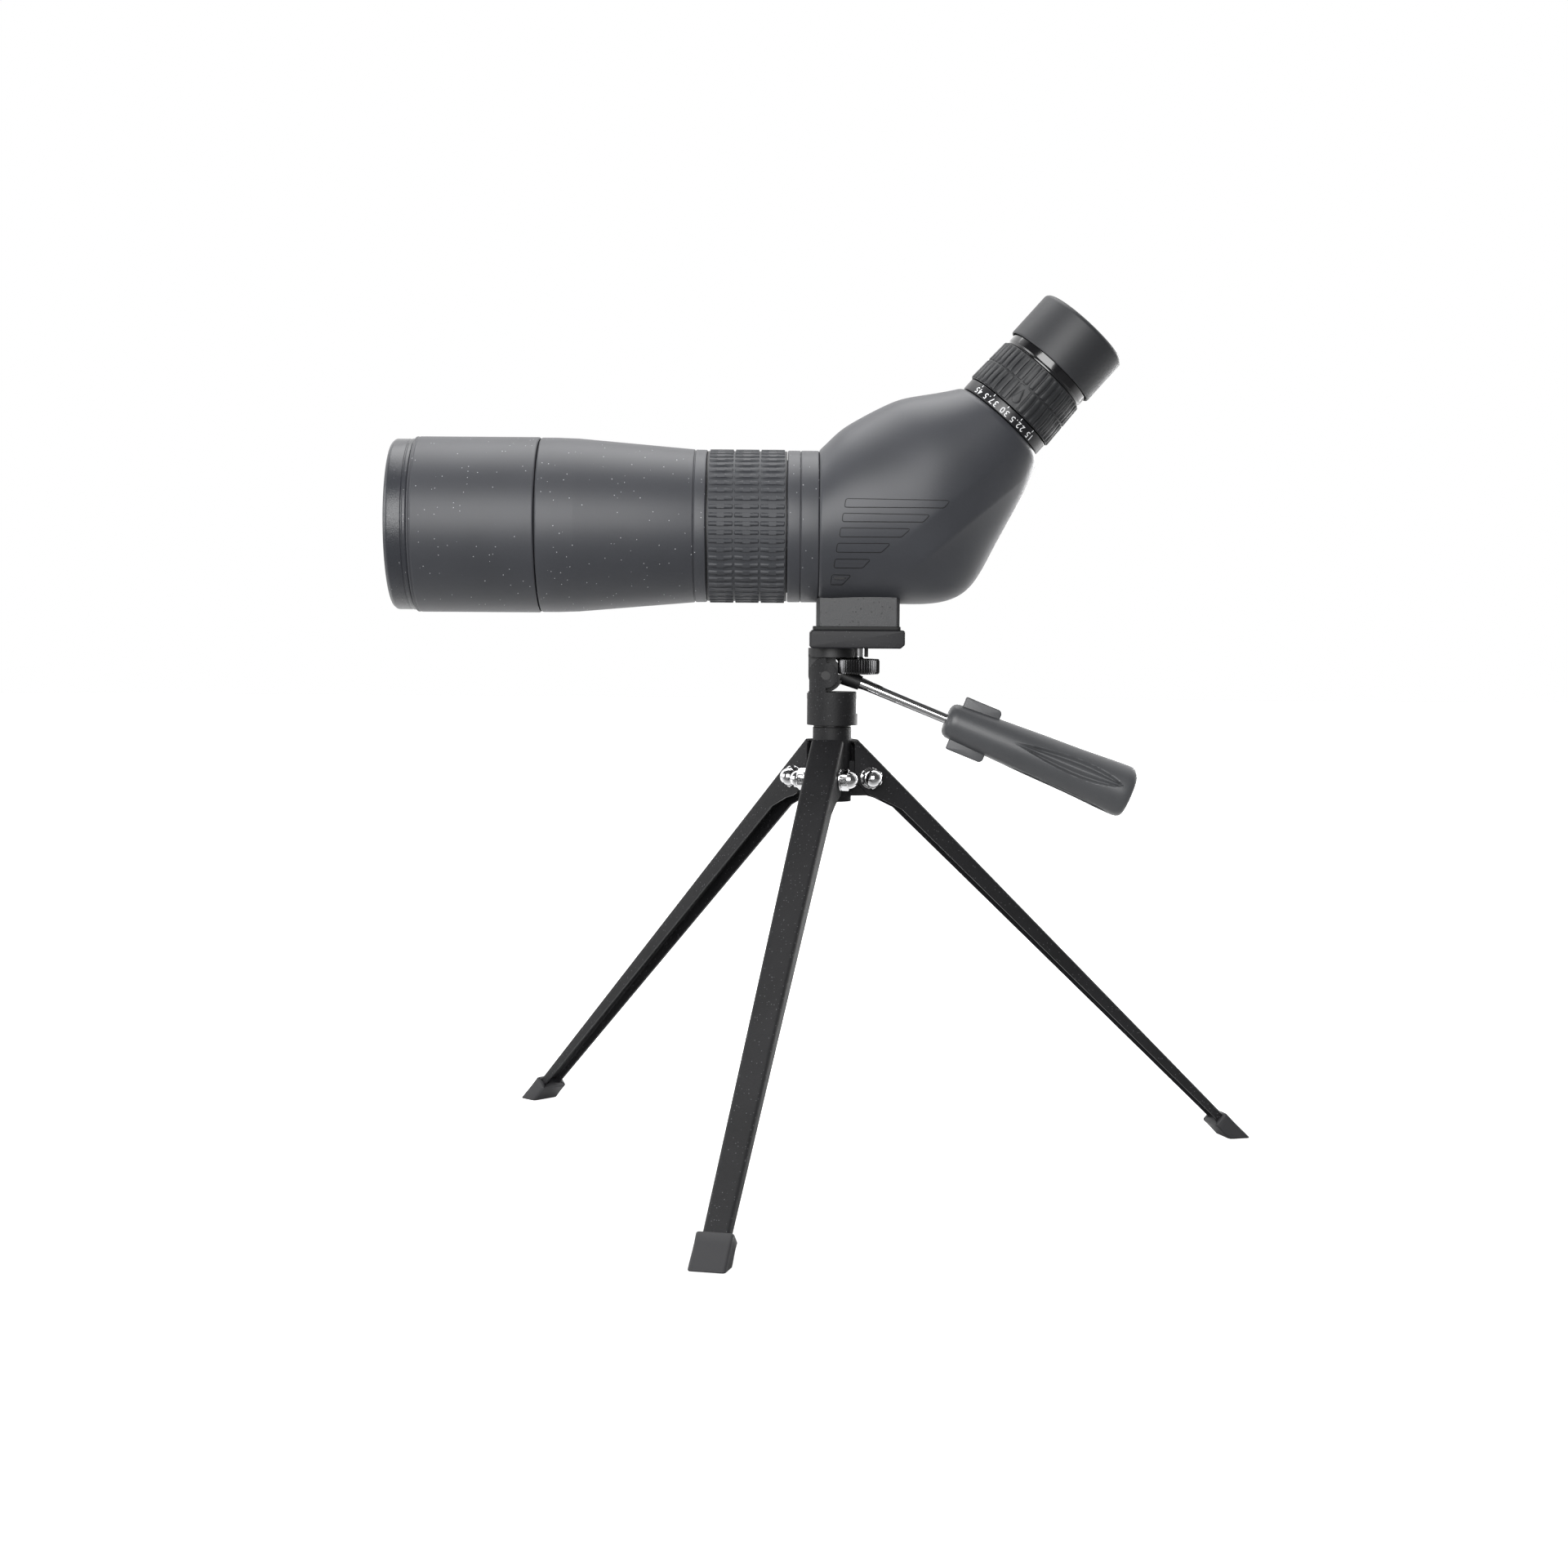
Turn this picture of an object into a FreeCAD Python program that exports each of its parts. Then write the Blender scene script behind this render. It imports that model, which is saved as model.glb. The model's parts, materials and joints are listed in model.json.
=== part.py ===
"""Spotting scope with an angled zoom eyepiece on a small folding table tripod.

Millimetres, +Z up, floor at z = 0, objective towards -X. Lengths along X are measured from the
axis of the tripod's column, and placed() then moves every sub-part so that the origin lies
below the middle of the whole.
"""
import FreeCAD, Part
import math
import os
import Sketcher

from FreeCAD import Placement, Rotation, Vector

doc = FreeCAD.newDocument("spotting_scope")
dims = doc.addObject("Spreadsheet::Sheet", "dims")

DIMENSIONS = (
    # the whole
    ("column_x", -2.531), ("column_y", 25.640), ("axis_height", 271.3),
    # objective end, along the optical axis
    ("bezel_front", -186.2), ("hood_front", -176.4), ("hood_rear", -124.1),
    ("bezel_radius", 36.0), ("mouth_radius", 33.0), ("hood_radius", 37.0), ("hood_bore", 35.0),
    ("hood_lip_bore", 34.06), ("hood_lip", 1.5), ("edge", 0.7), ("tube_front", -174.0),
    ("tube_rear", -112.0), ("tube_radius", 34.0), ("tube_bore", 32.6), ("seal_front", -170.0),
    ("seal_width", 2.0), ("seal_radius", 34.94), ("cell_front", -172.5), ("cell_rear", -160.0),
    ("cell_bore", 31.1), ("clear_radius", 30.0), ("crown_front", -171.0), ("crown_rear", -163.5),
    ("lens_radius", 31.05), ("crown_curve", 190.0), ("cement_curve", 130.0),
    ("flint_front", -163.3), ("flint_rear", -161.0), ("flint_curve", 400.0),
    ("lock_rear", -168.6),
    # main barrel
    ("barrel_front", -123.8), ("barrel_radius", 36.8), ("barrel_bore", 34.8),
    ("taper_start", -116.8), ("taper_soft", -107.8), ("taper_soft_radius", 36.5),
    ("taper_end", -58.8), ("waist_radius", 32.3), ("barrel_rear", -53.9), ("band_radius", 32.1),
    ("wall", 2.3), ("bulkhead", 6.0), ("groove", 0.5),
    # focusing
    ("guide_front", -66.0), ("guide_rear", -8.0), ("guide_radius", 28.0), ("guide_bore", 25.5),
    ("guide_seat", 28.03), ("ring_front", -53.3), ("ring_rear", -19.9), ("ring_bore", 28.06),
    ("ring_core", 30.4), ("ring_lip", 31.6), ("ring_lip_width", 0.8), ("grip_radius", 32.4),
    ("cam_front", -46.0), ("cam_rear", -27.0), ("cam_radius", 29.4), ("follower_x", -36.5),
    ("follower_radius", 1.5), ("follower_reach", 29.0), ("slot_reach", 7.8), ("slot_half", 1.6),
    ("carriage_half", 9.0), ("carriage_radius", 25.45), ("carriage_bore", 22.5),
    ("focus_lens_radius", 22.4), ("focus_lens_curve", 90.0), ("coupling_front", -19.3),
    ("housing_front", -6.3),
    # prism housing, swept round a level hinge line above it
    ("sweep_height", 384.5), ("eye_angle", 48.0), ("eye_reach", 102.4), ("housing_wall", 2.2),
    ("housing_mouth", 29.9), ("eye_hole", 17.1),
    # prism: apex height over the axis, side length and half thickness
    ("prism_face", 24.8), ("prism_rise", 11.0), ("prism_side", 36.0), ("prism_half", 11.0),
    ("cage_half", 12.6), ("cage_gap", 11.2), ("cage_wall", 1.6), ("cage_play", 0.4),
    ("strap_half", 13.4), ("strap_play", 0.05), ("strap_sheet", 0.75), ("strap_drop", 9.0),
    ("strap_rise", 14.4), ("strap_width", 5.0),
    # mounting foot
    ("block_left", -7.1), ("block_right", 27.9), ("block_half", 12.0), ("block_bottom", 229.3),
    ("block_top", 243.0), ("block_chamfer", 1.4), ("ring_room", 0.1), ("long_tool", 40.0),
    ("insert_radius", 5.0), ("thread_bore", 3.2), ("insert_top", 238.0), ("foot_screw_left", 0.0),
    ("foot_screw_right", 22.0), ("foot_screw_radius", 1.5), ("foot_screw_hole", 1.55),
    ("foot_screw_bottom", 231.5), ("foot_screw_seat", 241.6), ("foot_screw_head", 2.8),
    ("foot_screw_head_height", 1.8),
    # eyepiece, along its own axis from the housing's end face
    ("socket_rear", -8.0), ("socket_radius", 17.0), ("socket_bore", 15.04),
    ("socket_flange", 18.0), ("flange_back", -4.4), ("flange_face", -2.6), ("socket_top", 5.4),
    ("scale_radius", 20.65), ("scale_top", 5.5), ("eye_tube_top", 30.0),
    ("eye_tube_radius", 15.0), ("eye_tube_bore", 13.2), ("zoom_bottom", 5.8), ("zoom_top", 26.4),
    ("zoom_bore", 15.06), ("zoom_core", 19.4), ("zoom_low_radius", 21.5),
    ("zoom_high_radius", 20.7), ("zoom_cam_bottom", 9.0), ("zoom_cam_top", 23.0),
    ("zoom_cam_radius", 16.6), ("neck_bottom", 26.7), ("neck_shoulder", 36.0), ("neck_top", 46.0),
    ("neck_radius", 20.0), ("neck_tube", 16.5), ("eye_cell_bottom", 31.0), ("eye_cell_top", 45.0),
    ("eye_cell_radius", 13.45), ("eye_cell_bore", 12.0), ("eye_lens_radius", 11.9),
    ("eye_curve", 30.0), ("moving_cell_radius", 13.15), ("moving_cell_bore", 11.4),
    ("moving_lens_radius", 11.3), ("moving_curve", 45.0), ("field_cell_bottom", -4.0),
    ("zoom_cell_bottom", 12.0), ("moving_cell_length", 8.0), ("cup_bottom", 31.2),
    ("cup_top", 53.1), ("cup_radius", 21.4), ("cup_skirt", 20.35), ("cup_core_bottom", 41.0),
    ("cup_core_top", 48.5), ("cup_core_bore", 16.56), ("cup_core_radius", 20.2),
    ("cup_mouth", 18.2),
    # tripod head
    ("plate_left", -9.9), ("plate_right", 30.1), ("plate_width", 30.0), ("nose", 1.0),
    ("plate_bottom", 220.0), ("plate_top", 227.7), ("pad_left", -8.5), ("pad_right", 28.4),
    ("pad_half", 13.0), ("plate_screw_left", -6.0), ("plate_screw_right", -0.5),
    ("plate_screw_radius", 1.5), ("plate_screw_hole", 1.55), ("plate_screw_head", 2.8),
    ("plate_sink", 2.9), ("plate_sink_depth", 1.6), ("pad_top", 229.25), ("screw_x", 11.1),
    ("screw_hole", 3.35), ("screw_thread", 3.12), ("screw_neck", 2.2), ("screw_top", 235.5),
    ("knob_radius", 8.9), ("knob_bottom", 208.9), ("knob_top", 215.5), ("rib_bottom", 216.2),
    ("rib_right", 15.2), ("rib_front", 2.6), ("rib_back", 9.6), ("head_radius", 10.4),
    ("pin_x", -3.0), ("pin_height", 208.6), ("pin_radius", 2.0), ("pin_bore", 2.05),
    ("pin_half", 9.0), ("tongue_half", 3.0), ("tongue_radius", 7.3), ("tongue_left", -10.3),
    ("tongue_right", 1.4), ("ear_gap", 3.2), ("ear_radius", 5.3), ("ear_top_radius", 7.3),
    ("rod_height", 209.9), ("rod_drop", 22.0), ("rod_radius", 2.55), ("rod_bore", 2.6),
    ("boss_start", 4.0), ("boss_end", 12.8), ("boss_radius", 3.7), ("boss_tip_radius", 3.1),
    ("rod_start", 10.0), ("grip_start", 52.4), ("grip_end", 137.0), ("grip_front_radius", 7.6),
    ("grip_rear_radius", 11.2), ("grip_bore_end", 75.0), ("rod_end", 73.0), ("wing_start", 57.0),
    ("wing_end", 73.5), ("wing_half", 1.75), ("wing_reach", 12.0), ("collar_bottom", 187.3),
    ("collar_top", 201.4), ("collar_radius", 10.8), ("collar_notch", 3.8),
    ("notch_bottom", 192.0), ("notch_left", 0.5), ("slot_sink", 0.6), ("ear_reach", 11.0),
    # hub and legs
    ("hub_bottom", 154.8), ("hub_top", 186.3), ("hub_radius", 8.25), ("bolt_radius", 3.0),
    ("bolt_bore", 3.05), ("bolt_head", 5.2), ("bolt_seat", 3.6), ("counterbore", 5.5),
    ("bolt_top", 190.5), ("washer_radius", 8.0), ("washer_bottom", 186.4), ("washer_top", 187.2),
    ("pivot_reach", 15.1), ("pivot_height", 164.8), ("stud_radius", 2.5), ("stud_bore", 2.55),
    ("stud_half", 11.0), ("lug_half", 5.6), ("lug_radius", 6.0), ("lug_bottom", 157.2),
    ("lug_top", 176.0), ("leg_splay", 45.7), ("leg_azimuth", 16.15), ("leg_top", -15.2),
    ("leg_end", 236.0), ("leg_outer", 8.1), ("leg_sheet", 1.2), ("leg_half_top", 6.9),
    ("leg_half_end", 5.13), ("ear_depth", -5.6), ("flange_near", 0.4), ("flange_far", 4.4),
    ("nut_half", 4.0), ("nut_height", 3.4), ("nut_dome", 3.7), ("nut_washer", 4.6),
    ("nut_washer_height", 0.6), ("cap_length", 16.0), ("cap_overlap", 8.0), ("cap_half", 7.3),
    ("cap_outer", 9.1), ("cap_inner", 1.6), ("cap_play", 0.05),
)

# Prism housing sections: sweep angle, distance of the near and far edge from the hinge line,
# half width.
HOUSING_SECTIONS = (
    (0, 80.95, 145.45, 32.25), (6, 74.0, 146.3, 32.6), (12, 70.4, 148.8, 33.0),
    (18, 68.6, 152.9, 33.0), (24, 67.9, 153.3, 32.4), (30, 68.6, 144.6, 30.6),
    (36, 71.5, 136.4, 28.0), (42, 75.9, 130.3, 25.0), (48, 81.2, 124.6, 21.9),
)

LEG_NAMES = ("right", "left", "front")
PLATE_SCREWS = ("plate_screw_left", "plate_screw_right")

# Points that each housing section's closed curve passes through, the first on top.
SECTION_POINTS = 24


def fill_sheet():
    """One row per dimension: its name and its value."""
    rows = list(DIMENSIONS)
    for number, (angle, near, far, half) in enumerate(HOUSING_SECTIONS):
        rows.append((f"section_{number}_angle", angle))
        rows.append((f"section_{number}_near", near))
        rows.append((f"section_{number}_far", far))
        rows.append((f"section_{number}_half", half))
    for row, (alias, size) in enumerate(rows, start=1):
        dims.set(f"A{row}", alias)
        dims.set(f"B{row}", str(size))
        dims.setAlias(f"B{row}", alias)
    doc.recompute()


def cell(alias):
    """The sheet's value for a name."""
    return float(dims.get(alias))


def value(formula):
    """What a sum of names and numbers comes to, such as 'hood_rear - hood_lip'."""
    total = 0.0
    sign = 1.0
    for word in formula.split():
        if word in "+-":
            sign = -1.0 if word == "-" else 1.0
        else:
            total += sign * (cell(word) if word[0].isalpha() else float(word))
    return total


def bound(formula):
    """The same sum as an expression on the sheet."""
    return " ".join("dims." + word if word[0].isalpha() else word for word in formula.split())


def bind(thing, **formulas):
    """Binds properties of a Part primitive to sums of the sheet's cells."""
    for name, formula in formulas.items():
        thing.setExpression(name, bound(formula))


def placed(thing, x=0.0, y=0.0, z=0.0, rise=0.0, turn=0.0):
    """Puts a finished sub-part in the frame: rise lifts its X axis, turn is its azimuth."""
    spin = Rotation(Vector(0, 0, 1), turn) * Rotation(Vector(0, -1, 0), rise)
    thing.Placement = Placement(Vector(cell("column_x") + x, cell("column_y") + y, z), spin)
    return thing


def on_optics(thing):
    return placed(thing, z=cell("axis_height"))


def on_eyepiece(thing):
    """Places a piece whose local X axis is the eyepiece's axis."""
    angle = math.radians(cell("eye_angle"))
    x = cell("housing_front") + cell("eye_reach") * math.sin(angle)
    z = cell("sweep_height") - cell("eye_reach") * math.cos(angle)
    return placed(thing, x=x, z=z, rise=cell("eye_angle"))


def on_column(thing):
    """Places a piece whose local X axis is the column's axis."""
    return placed(thing, rise=90.0)


def on_handle(thing):
    """Places a piece whose local X axis is the handle's, from where it crosses the column."""
    return placed(thing, z=cell("rod_height"), rise=-cell("rod_drop"))


def plane(body, role):
    """A body's own origin plane."""
    return next(item for item in body.Origin.OriginFeatures if item.Role == role)


def sketch_on(body, role, name, lift=0.0):
    sketch = body.newObject("Sketcher::SketchObject", name)
    sketch.AttachmentSupport = [(plane(body, role), "")]
    sketch.MapMode = "FlatFace"
    sketch.AttachmentOffset = Placement(Vector(0, 0, lift), Rotation())
    return sketch


def pin_point(sketch, line, along, across):
    """Binds the start of a line to two sums, or to an axis where a sum is zero."""
    for formula, kind, axis in ((along, "DistanceX", -2), (across, "DistanceY", -1)):
        if value(formula) == 0.0:
            sketch.addConstraint(Sketcher.Constraint("PointOnObject", line, 1, axis))
        else:
            number = sketch.addConstraint(Sketcher.Constraint(kind, line, 1, value(formula)))
            sketch.setExpression(f"Constraints[{number}]", bound(formula))


def outline(sketch, points):
    """Closed outline of straight lines, each corner bound to the sheet."""
    corners = [Vector(value(along), value(across), 0) for along, across in points]
    first = sketch.GeometryCount
    for start, end in zip(corners, corners[1:] + corners[:1]):
        sketch.addGeometry(Part.LineSegment(start, end), False)
    for number, (along, across) in enumerate(points):
        nearest = first + (number + 1) % len(points)
        sketch.addConstraint(Sketcher.Constraint("Coincident", first + number, 2, nearest, 1))
        pin_point(sketch, first + number, along, across)


def circle(sketch, along, across, radius):
    """Circle with its centre and radius bound to the sheet."""
    centre = Vector(value(along), value(across), 0)
    line = sketch.addGeometry(Part.Circle(centre, Vector(0, 0, 1), value(radius)), False)
    for formula, kind, axis in ((along, "DistanceX", -2), (across, "DistanceY", -1)):
        if value(formula) == 0.0:
            sketch.addConstraint(Sketcher.Constraint("PointOnObject", line, 3, axis))
        else:
            number = sketch.addConstraint(Sketcher.Constraint(kind, line, 3, value(formula)))
            sketch.setExpression(f"Constraints[{number}]", bound(formula))
    number = sketch.addConstraint(Sketcher.Constraint("Radius", line, value(radius)))
    sketch.setExpression(f"Constraints[{number}]", bound(radius))


def new_body(label):
    body = doc.addObject("PartDesign::Body", label)
    body.Label = label
    return body


def revolve(body, sketch, name):
    turned_feature = body.newObject("PartDesign::Revolution", name)
    turned_feature.Profile = sketch
    turned_feature.ReferenceAxis = (sketch, ["H_Axis"])
    turned_feature.Angle = 360.0
    return turned_feature


def turned(label, points):
    """Lathe-turned piece: an outline of (axial, radius) corners spun about local X."""
    body = new_body(label)
    sketch = sketch_on(body, "XY_Plane", label + "_profile")
    outline(sketch, points)
    revolve(body, sketch, label + "_turned")
    return body


def ring(label, start, end, bore, radius, edge="0.3"):
    """Turned ring with broken outer edges."""
    return turned(label, [
        (start, bore), (end, bore), (end, f"{radius} - {edge}"), (f"{end} - {edge}", radius),
        (f"{start} + {edge}", radius), (start, f"{radius} - {edge}")])


def pad(body, sketch, length, name, midplane=True):
    solid = body.newObject("PartDesign::Pad", name)
    solid.Profile = sketch
    solid.Midplane = midplane
    solid.setExpression("Length", bound(length))
    return solid


def pocket(body, sketch, length, name, midplane=True, backwards=False):
    """Cuts a sketch's shape out of a body, both ways from the sketch when midplane is on."""
    cut = body.newObject("PartDesign::Pocket", name)
    cut.Profile = sketch
    cut.Midplane = midplane
    cut.Reversed = backwards
    cut.setExpression("Length", bound(length))
    return cut


def lens(label, front, rear, radius, front_curve, rear_curve, front_hollow=False,
         rear_hollow=False):
    """Round lens between two spherical faces; a hollow face curves into the glass."""
    body = new_body(label)
    sketch = sketch_on(body, "XY_Plane", label + "_profile")
    rims = []
    faces = ((front, front_curve, -1 if not front_hollow else 1),
             (rear, rear_curve, 1 if not rear_hollow else -1))
    for vertex, curve, side in faces:
        centre = value(vertex) - side * value(curve)
        lean = math.asin(value(radius) / value(curve))
        arc = Part.Circle(Vector(centre, 0, 0), Vector(0, 0, 1), value(curve))
        span = (0.0, lean) if side > 0 else (math.pi - lean, math.pi)
        line = sketch.addGeometry(Part.ArcOfCircle(arc, *span), False)
        tip, rim = (1, 2) if side > 0 else (2, 1)
        sketch.addConstraint(Sketcher.Constraint("PointOnObject", line, 3, -1))
        sketch.addConstraint(Sketcher.Constraint("PointOnObject", line, tip, -1))
        number = sketch.addConstraint(Sketcher.Constraint("Radius", line, value(curve)))
        sketch.setExpression(f"Constraints[{number}]", bound(curve))
        number = sketch.addConstraint(Sketcher.Constraint("DistanceX", line, tip, value(vertex)))
        sketch.setExpression(f"Constraints[{number}]", bound(vertex))
        rim_x = centre + side * value(curve) * math.cos(lean)
        rims.append((line, tip, rim, rim_x))
    (face_a, tip_a, rim_a, x_a), (face_b, tip_b, rim_b, x_b) = rims
    edge = sketch.addGeometry(Part.LineSegment(Vector(x_a, value(radius), 0),
                                               Vector(x_b, value(radius), 0)), False)
    axis = sketch.addGeometry(Part.LineSegment(Vector(value(front), 0, 0),
                                               Vector(value(rear), 0, 0)), False)
    for line, end, other, other_end in ((edge, 1, face_a, rim_a), (edge, 2, face_b, rim_b),
                                        (axis, 1, face_a, tip_a), (axis, 2, face_b, tip_b)):
        sketch.addConstraint(Sketcher.Constraint("Coincident", line, end, other, other_end))
    sketch.addConstraint(Sketcher.Constraint("Horizontal", edge))
    number = sketch.addConstraint(Sketcher.Constraint("DistanceY", edge, 1, value(radius)))
    sketch.setExpression(f"Constraints[{number}]", bound(radius))
    revolve(body, sketch, label + "_turned")
    return body


def box(name, left, right, front, back, bottom, top):
    """Part box between bound faces."""
    block = doc.addObject("Part::Box", name)
    for side, low, high in (("Length", left, right), ("Width", front, back),
                            ("Height", bottom, top)):
        block.setExpression(side, f"({bound(high)}) - ({bound(low)})")
    block.Placement = Placement(Vector(value(left), value(front), value(bottom)), Rotation())
    return block


def rod(name, radius, length, at=(0, 0, 0), rotation=Rotation()):
    """Part cylinder from a point, along the rotated Z axis."""
    cylinder = doc.addObject("Part::Cylinder", name)
    bind(cylinder, Radius=radius, Height=length)
    cylinder.Placement = Placement(Vector(*at), rotation)
    return cylinder


def boolean(kind, label, base, *tools):
    """Part::Cut takes one tool at a time; the others take them all."""
    if kind == "Cut":
        result = base
        for number, tool in enumerate(tools):
            cut = doc.addObject("Part::Cut", f"{label}_cut{number}")
            cut.Base = result
            cut.Tool = tool
            result = cut
    else:
        result = doc.addObject("Part::Multi" + kind, label + "_" + kind.lower())
        result.Shapes = [base, *tools]
    result.Label = label
    return result


def objective_end():
    """Fixed tube with its doublet, and the sunshade that slides on it."""
    on_optics(turned("objective_tube", [
        ("tube_front", "tube_bore"), ("tube_rear", "tube_bore"),
        ("tube_rear", "barrel_bore - 0.03"), ("barrel_front", "barrel_bore - 0.03"),
        ("barrel_front", "tube_radius"), ("tube_front", "tube_radius")]))
    on_optics(turned("objective_cell", [
        ("cell_front", "cell_bore"), ("cell_rear - 2.0", "cell_bore"),
        ("cell_rear - 2.0", "clear_radius"), ("cell_rear", "clear_radius"),
        ("cell_rear", "tube_bore - 0.03"), ("cell_front", "tube_bore - 0.03")]))
    on_optics(lens("objective_crown_lens", "crown_front", "crown_rear", "lens_radius",
                   "crown_curve", "cement_curve"))
    on_optics(lens("objective_flint_lens", "flint_front", "flint_rear", "lens_radius",
                   "cement_curve", "flint_curve", front_hollow=True))
    on_optics(ring("objective_retaining_ring", "cell_front + 0.3", "lock_rear", "clear_radius",
                   "cell_bore - 0.03"))
    on_optics(ring("sunshade_seal", "seal_front", "seal_front + seal_width",
                   "tube_radius + 0.02", "seal_radius"))
    on_optics(turned("sunshade", [
        ("hood_front + 0.05", "hood_bore"), ("hood_rear - hood_lip", "hood_bore"),
        ("hood_rear - hood_lip", "hood_lip_bore"), ("hood_rear", "hood_lip_bore"),
        ("hood_rear", "hood_radius - edge"), ("hood_rear - edge", "hood_radius"),
        ("hood_front + edge", "hood_radius"), ("hood_front + 0.05", "hood_radius - edge")]))
    on_optics(turned("front_bezel_ring", [
        ("bezel_front", "mouth_radius + edge"), ("bezel_front + edge", "mouth_radius"),
        ("hood_front + 1.5", "mouth_radius"), ("hood_front + 1.5", "hood_bore - 0.05"),
        ("hood_front", "hood_bore - 0.05"), ("hood_front", "bezel_radius"),
        ("bezel_front + 2.0", "bezel_radius"), ("bezel_front + edge", "bezel_radius - edge"),
        ("bezel_front", "bezel_radius - 2.0")]))


def main_barrel():
    """Tapered tube with a bulkhead that carries the focus guide."""
    on_optics(turned("main_barrel", [
        ("barrel_front", "barrel_bore"), ("tube_rear + 0.1", "barrel_bore"),
        ("tube_rear + 0.1", "barrel_bore - 0.9"), ("barrel_rear - bulkhead", "waist_radius - wall"),
        ("barrel_rear - bulkhead", "guide_seat"), ("barrel_rear", "guide_seat"),
        ("barrel_rear", "band_radius"), ("taper_end + groove", "waist_radius"),
        ("taper_end + groove", "waist_radius - groove"), ("taper_end", "waist_radius - groove"),
        ("taper_end", "waist_radius"), ("taper_soft", "taper_soft_radius"),
        ("taper_start", "barrel_radius"), ("barrel_front + edge", "barrel_radius"),
        ("barrel_front", "barrel_radius - edge")]))


def focusing():
    """Guide tube, the ring that turns on it, and the lens carriage that slides inside it."""
    guide = turned("focus_guide_tube", [
        ("guide_front", "guide_bore"), ("guide_rear", "guide_bore"),
        ("guide_rear", "guide_radius"), ("guide_front", "guide_radius")])
    slots = sketch_on(guide, "XZ_Plane", "guide_slots")
    outline(slots, [("follower_x - slot_reach", "0.0 - slot_half"),
                    ("follower_x + slot_reach", "0.0 - slot_half"),
                    ("follower_x + slot_reach", "slot_half"),
                    ("follower_x - slot_reach", "slot_half")])
    pocket(guide, slots, "guide_radius + guide_radius + 2", "guide_slot_cut")
    on_optics(guide)
    on_optics(turned("focus_ring", [
        ("ring_front", "ring_bore"), ("cam_front", "ring_bore"), ("cam_front", "cam_radius"),
        ("cam_rear", "cam_radius"), ("cam_rear", "ring_bore"), ("ring_rear", "ring_bore"),
        ("ring_rear", "ring_lip"), ("ring_rear - ring_lip_width", "ring_lip"),
        ("ring_rear - ring_lip_width", "ring_core"), ("ring_front + ring_lip_width", "ring_core"),
        ("ring_front + ring_lip_width", "ring_lip"), ("ring_front", "ring_lip")]))
    on_optics(ring("focus_grip", "ring_front + ring_lip_width", "ring_rear - ring_lip_width",
                   "ring_core + 0.02", "grip_radius"))
    carriage = turned("focus_carriage", [
        ("follower_x - carriage_half", "carriage_bore"),
        ("follower_x + carriage_half", "carriage_bore"),
        ("follower_x + carriage_half", "carriage_radius"),
        ("follower_x - carriage_half", "carriage_radius")])
    holes = sketch_on(carriage, "XZ_Plane", "follower_holes")
    circle(holes, "follower_x", "0", "follower_radius + 0.02")
    pocket(carriage, holes, "carriage_radius + carriage_radius + 2", "follower_hole_cut")
    on_optics(carriage)
    on_optics(lens("focusing_lens", "follower_x + 3.0", "follower_x + 6.0", "focus_lens_radius",
                   "focus_lens_curve", "focus_lens_curve", front_hollow=True, rear_hollow=True))
    pins = []
    for side in (-1, 1):
        outwards = Rotation(Vector(1, 0, 0), -90 * side)
        start = (cell("follower_x"), side * (cell("carriage_bore") + 0.5), 0)
        pins.append(rod(f"follower_{'near' if side < 0 else 'far'}", "follower_radius",
                        "follower_reach - carriage_bore - 0.5", start, outwards))
    on_optics(boolean("Fuse", "focus_follower_pins", *pins))
    on_optics(ring("coupling_ring", "coupling_front", "housing_front - 0.05", "guide_seat",
                   "band_radius", "groove"))


def housing_section(number, angle, inset):
    """Closed curve of one housing section, turned by angle about the level hinge line."""
    near = cell(f"section_{number}_near") + inset
    far = cell(f"section_{number}_far") - inset
    half = cell(f"section_{number}_half") - inset
    lean = math.radians(angle)
    points = []
    for step in range(SECTION_POINTS):
        turn = 2 * math.pi * step / SECTION_POINTS
        reach = (near + far) / 2 - (far - near) / 2 * math.cos(turn)
        x = cell("housing_front") + reach * math.sin(lean)
        z = cell("sweep_height") - reach * math.cos(lean)
        points.append(Vector(x, half * math.sin(turn), z))
    curve = Part.BSplineCurve()
    curve.interpolate(Points=points, PeriodicFlag=True)
    return Part.Wire([curve.toShape()])


def housing_loft(inset, end_step):
    """Skin through every section, pulled in by inset, its last section end_step degrees early."""
    wires = []
    last = len(HOUSING_SECTIONS) - 1
    for number in range(last + 1):
        angle = cell(f"section_{number}_angle") - (end_step if number == last else 0.0)
        wires.append(housing_section(number, angle, inset))
    return Part.makeLoft(wires, True, False)


def eyepiece_rod(radius, start, end):
    """Solid round bar along the eyepiece's axis, before any placement."""
    angle = math.radians(cell("eye_angle"))
    along = Vector(math.cos(angle), 0, math.sin(angle))
    foot = Vector(cell("housing_front") + cell("eye_reach") * math.sin(angle), 0,
                  cell("sweep_height") - cell("eye_reach") * math.cos(angle))
    return Part.makeCylinder(radius, end - start, foot + along * start, along)


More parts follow.
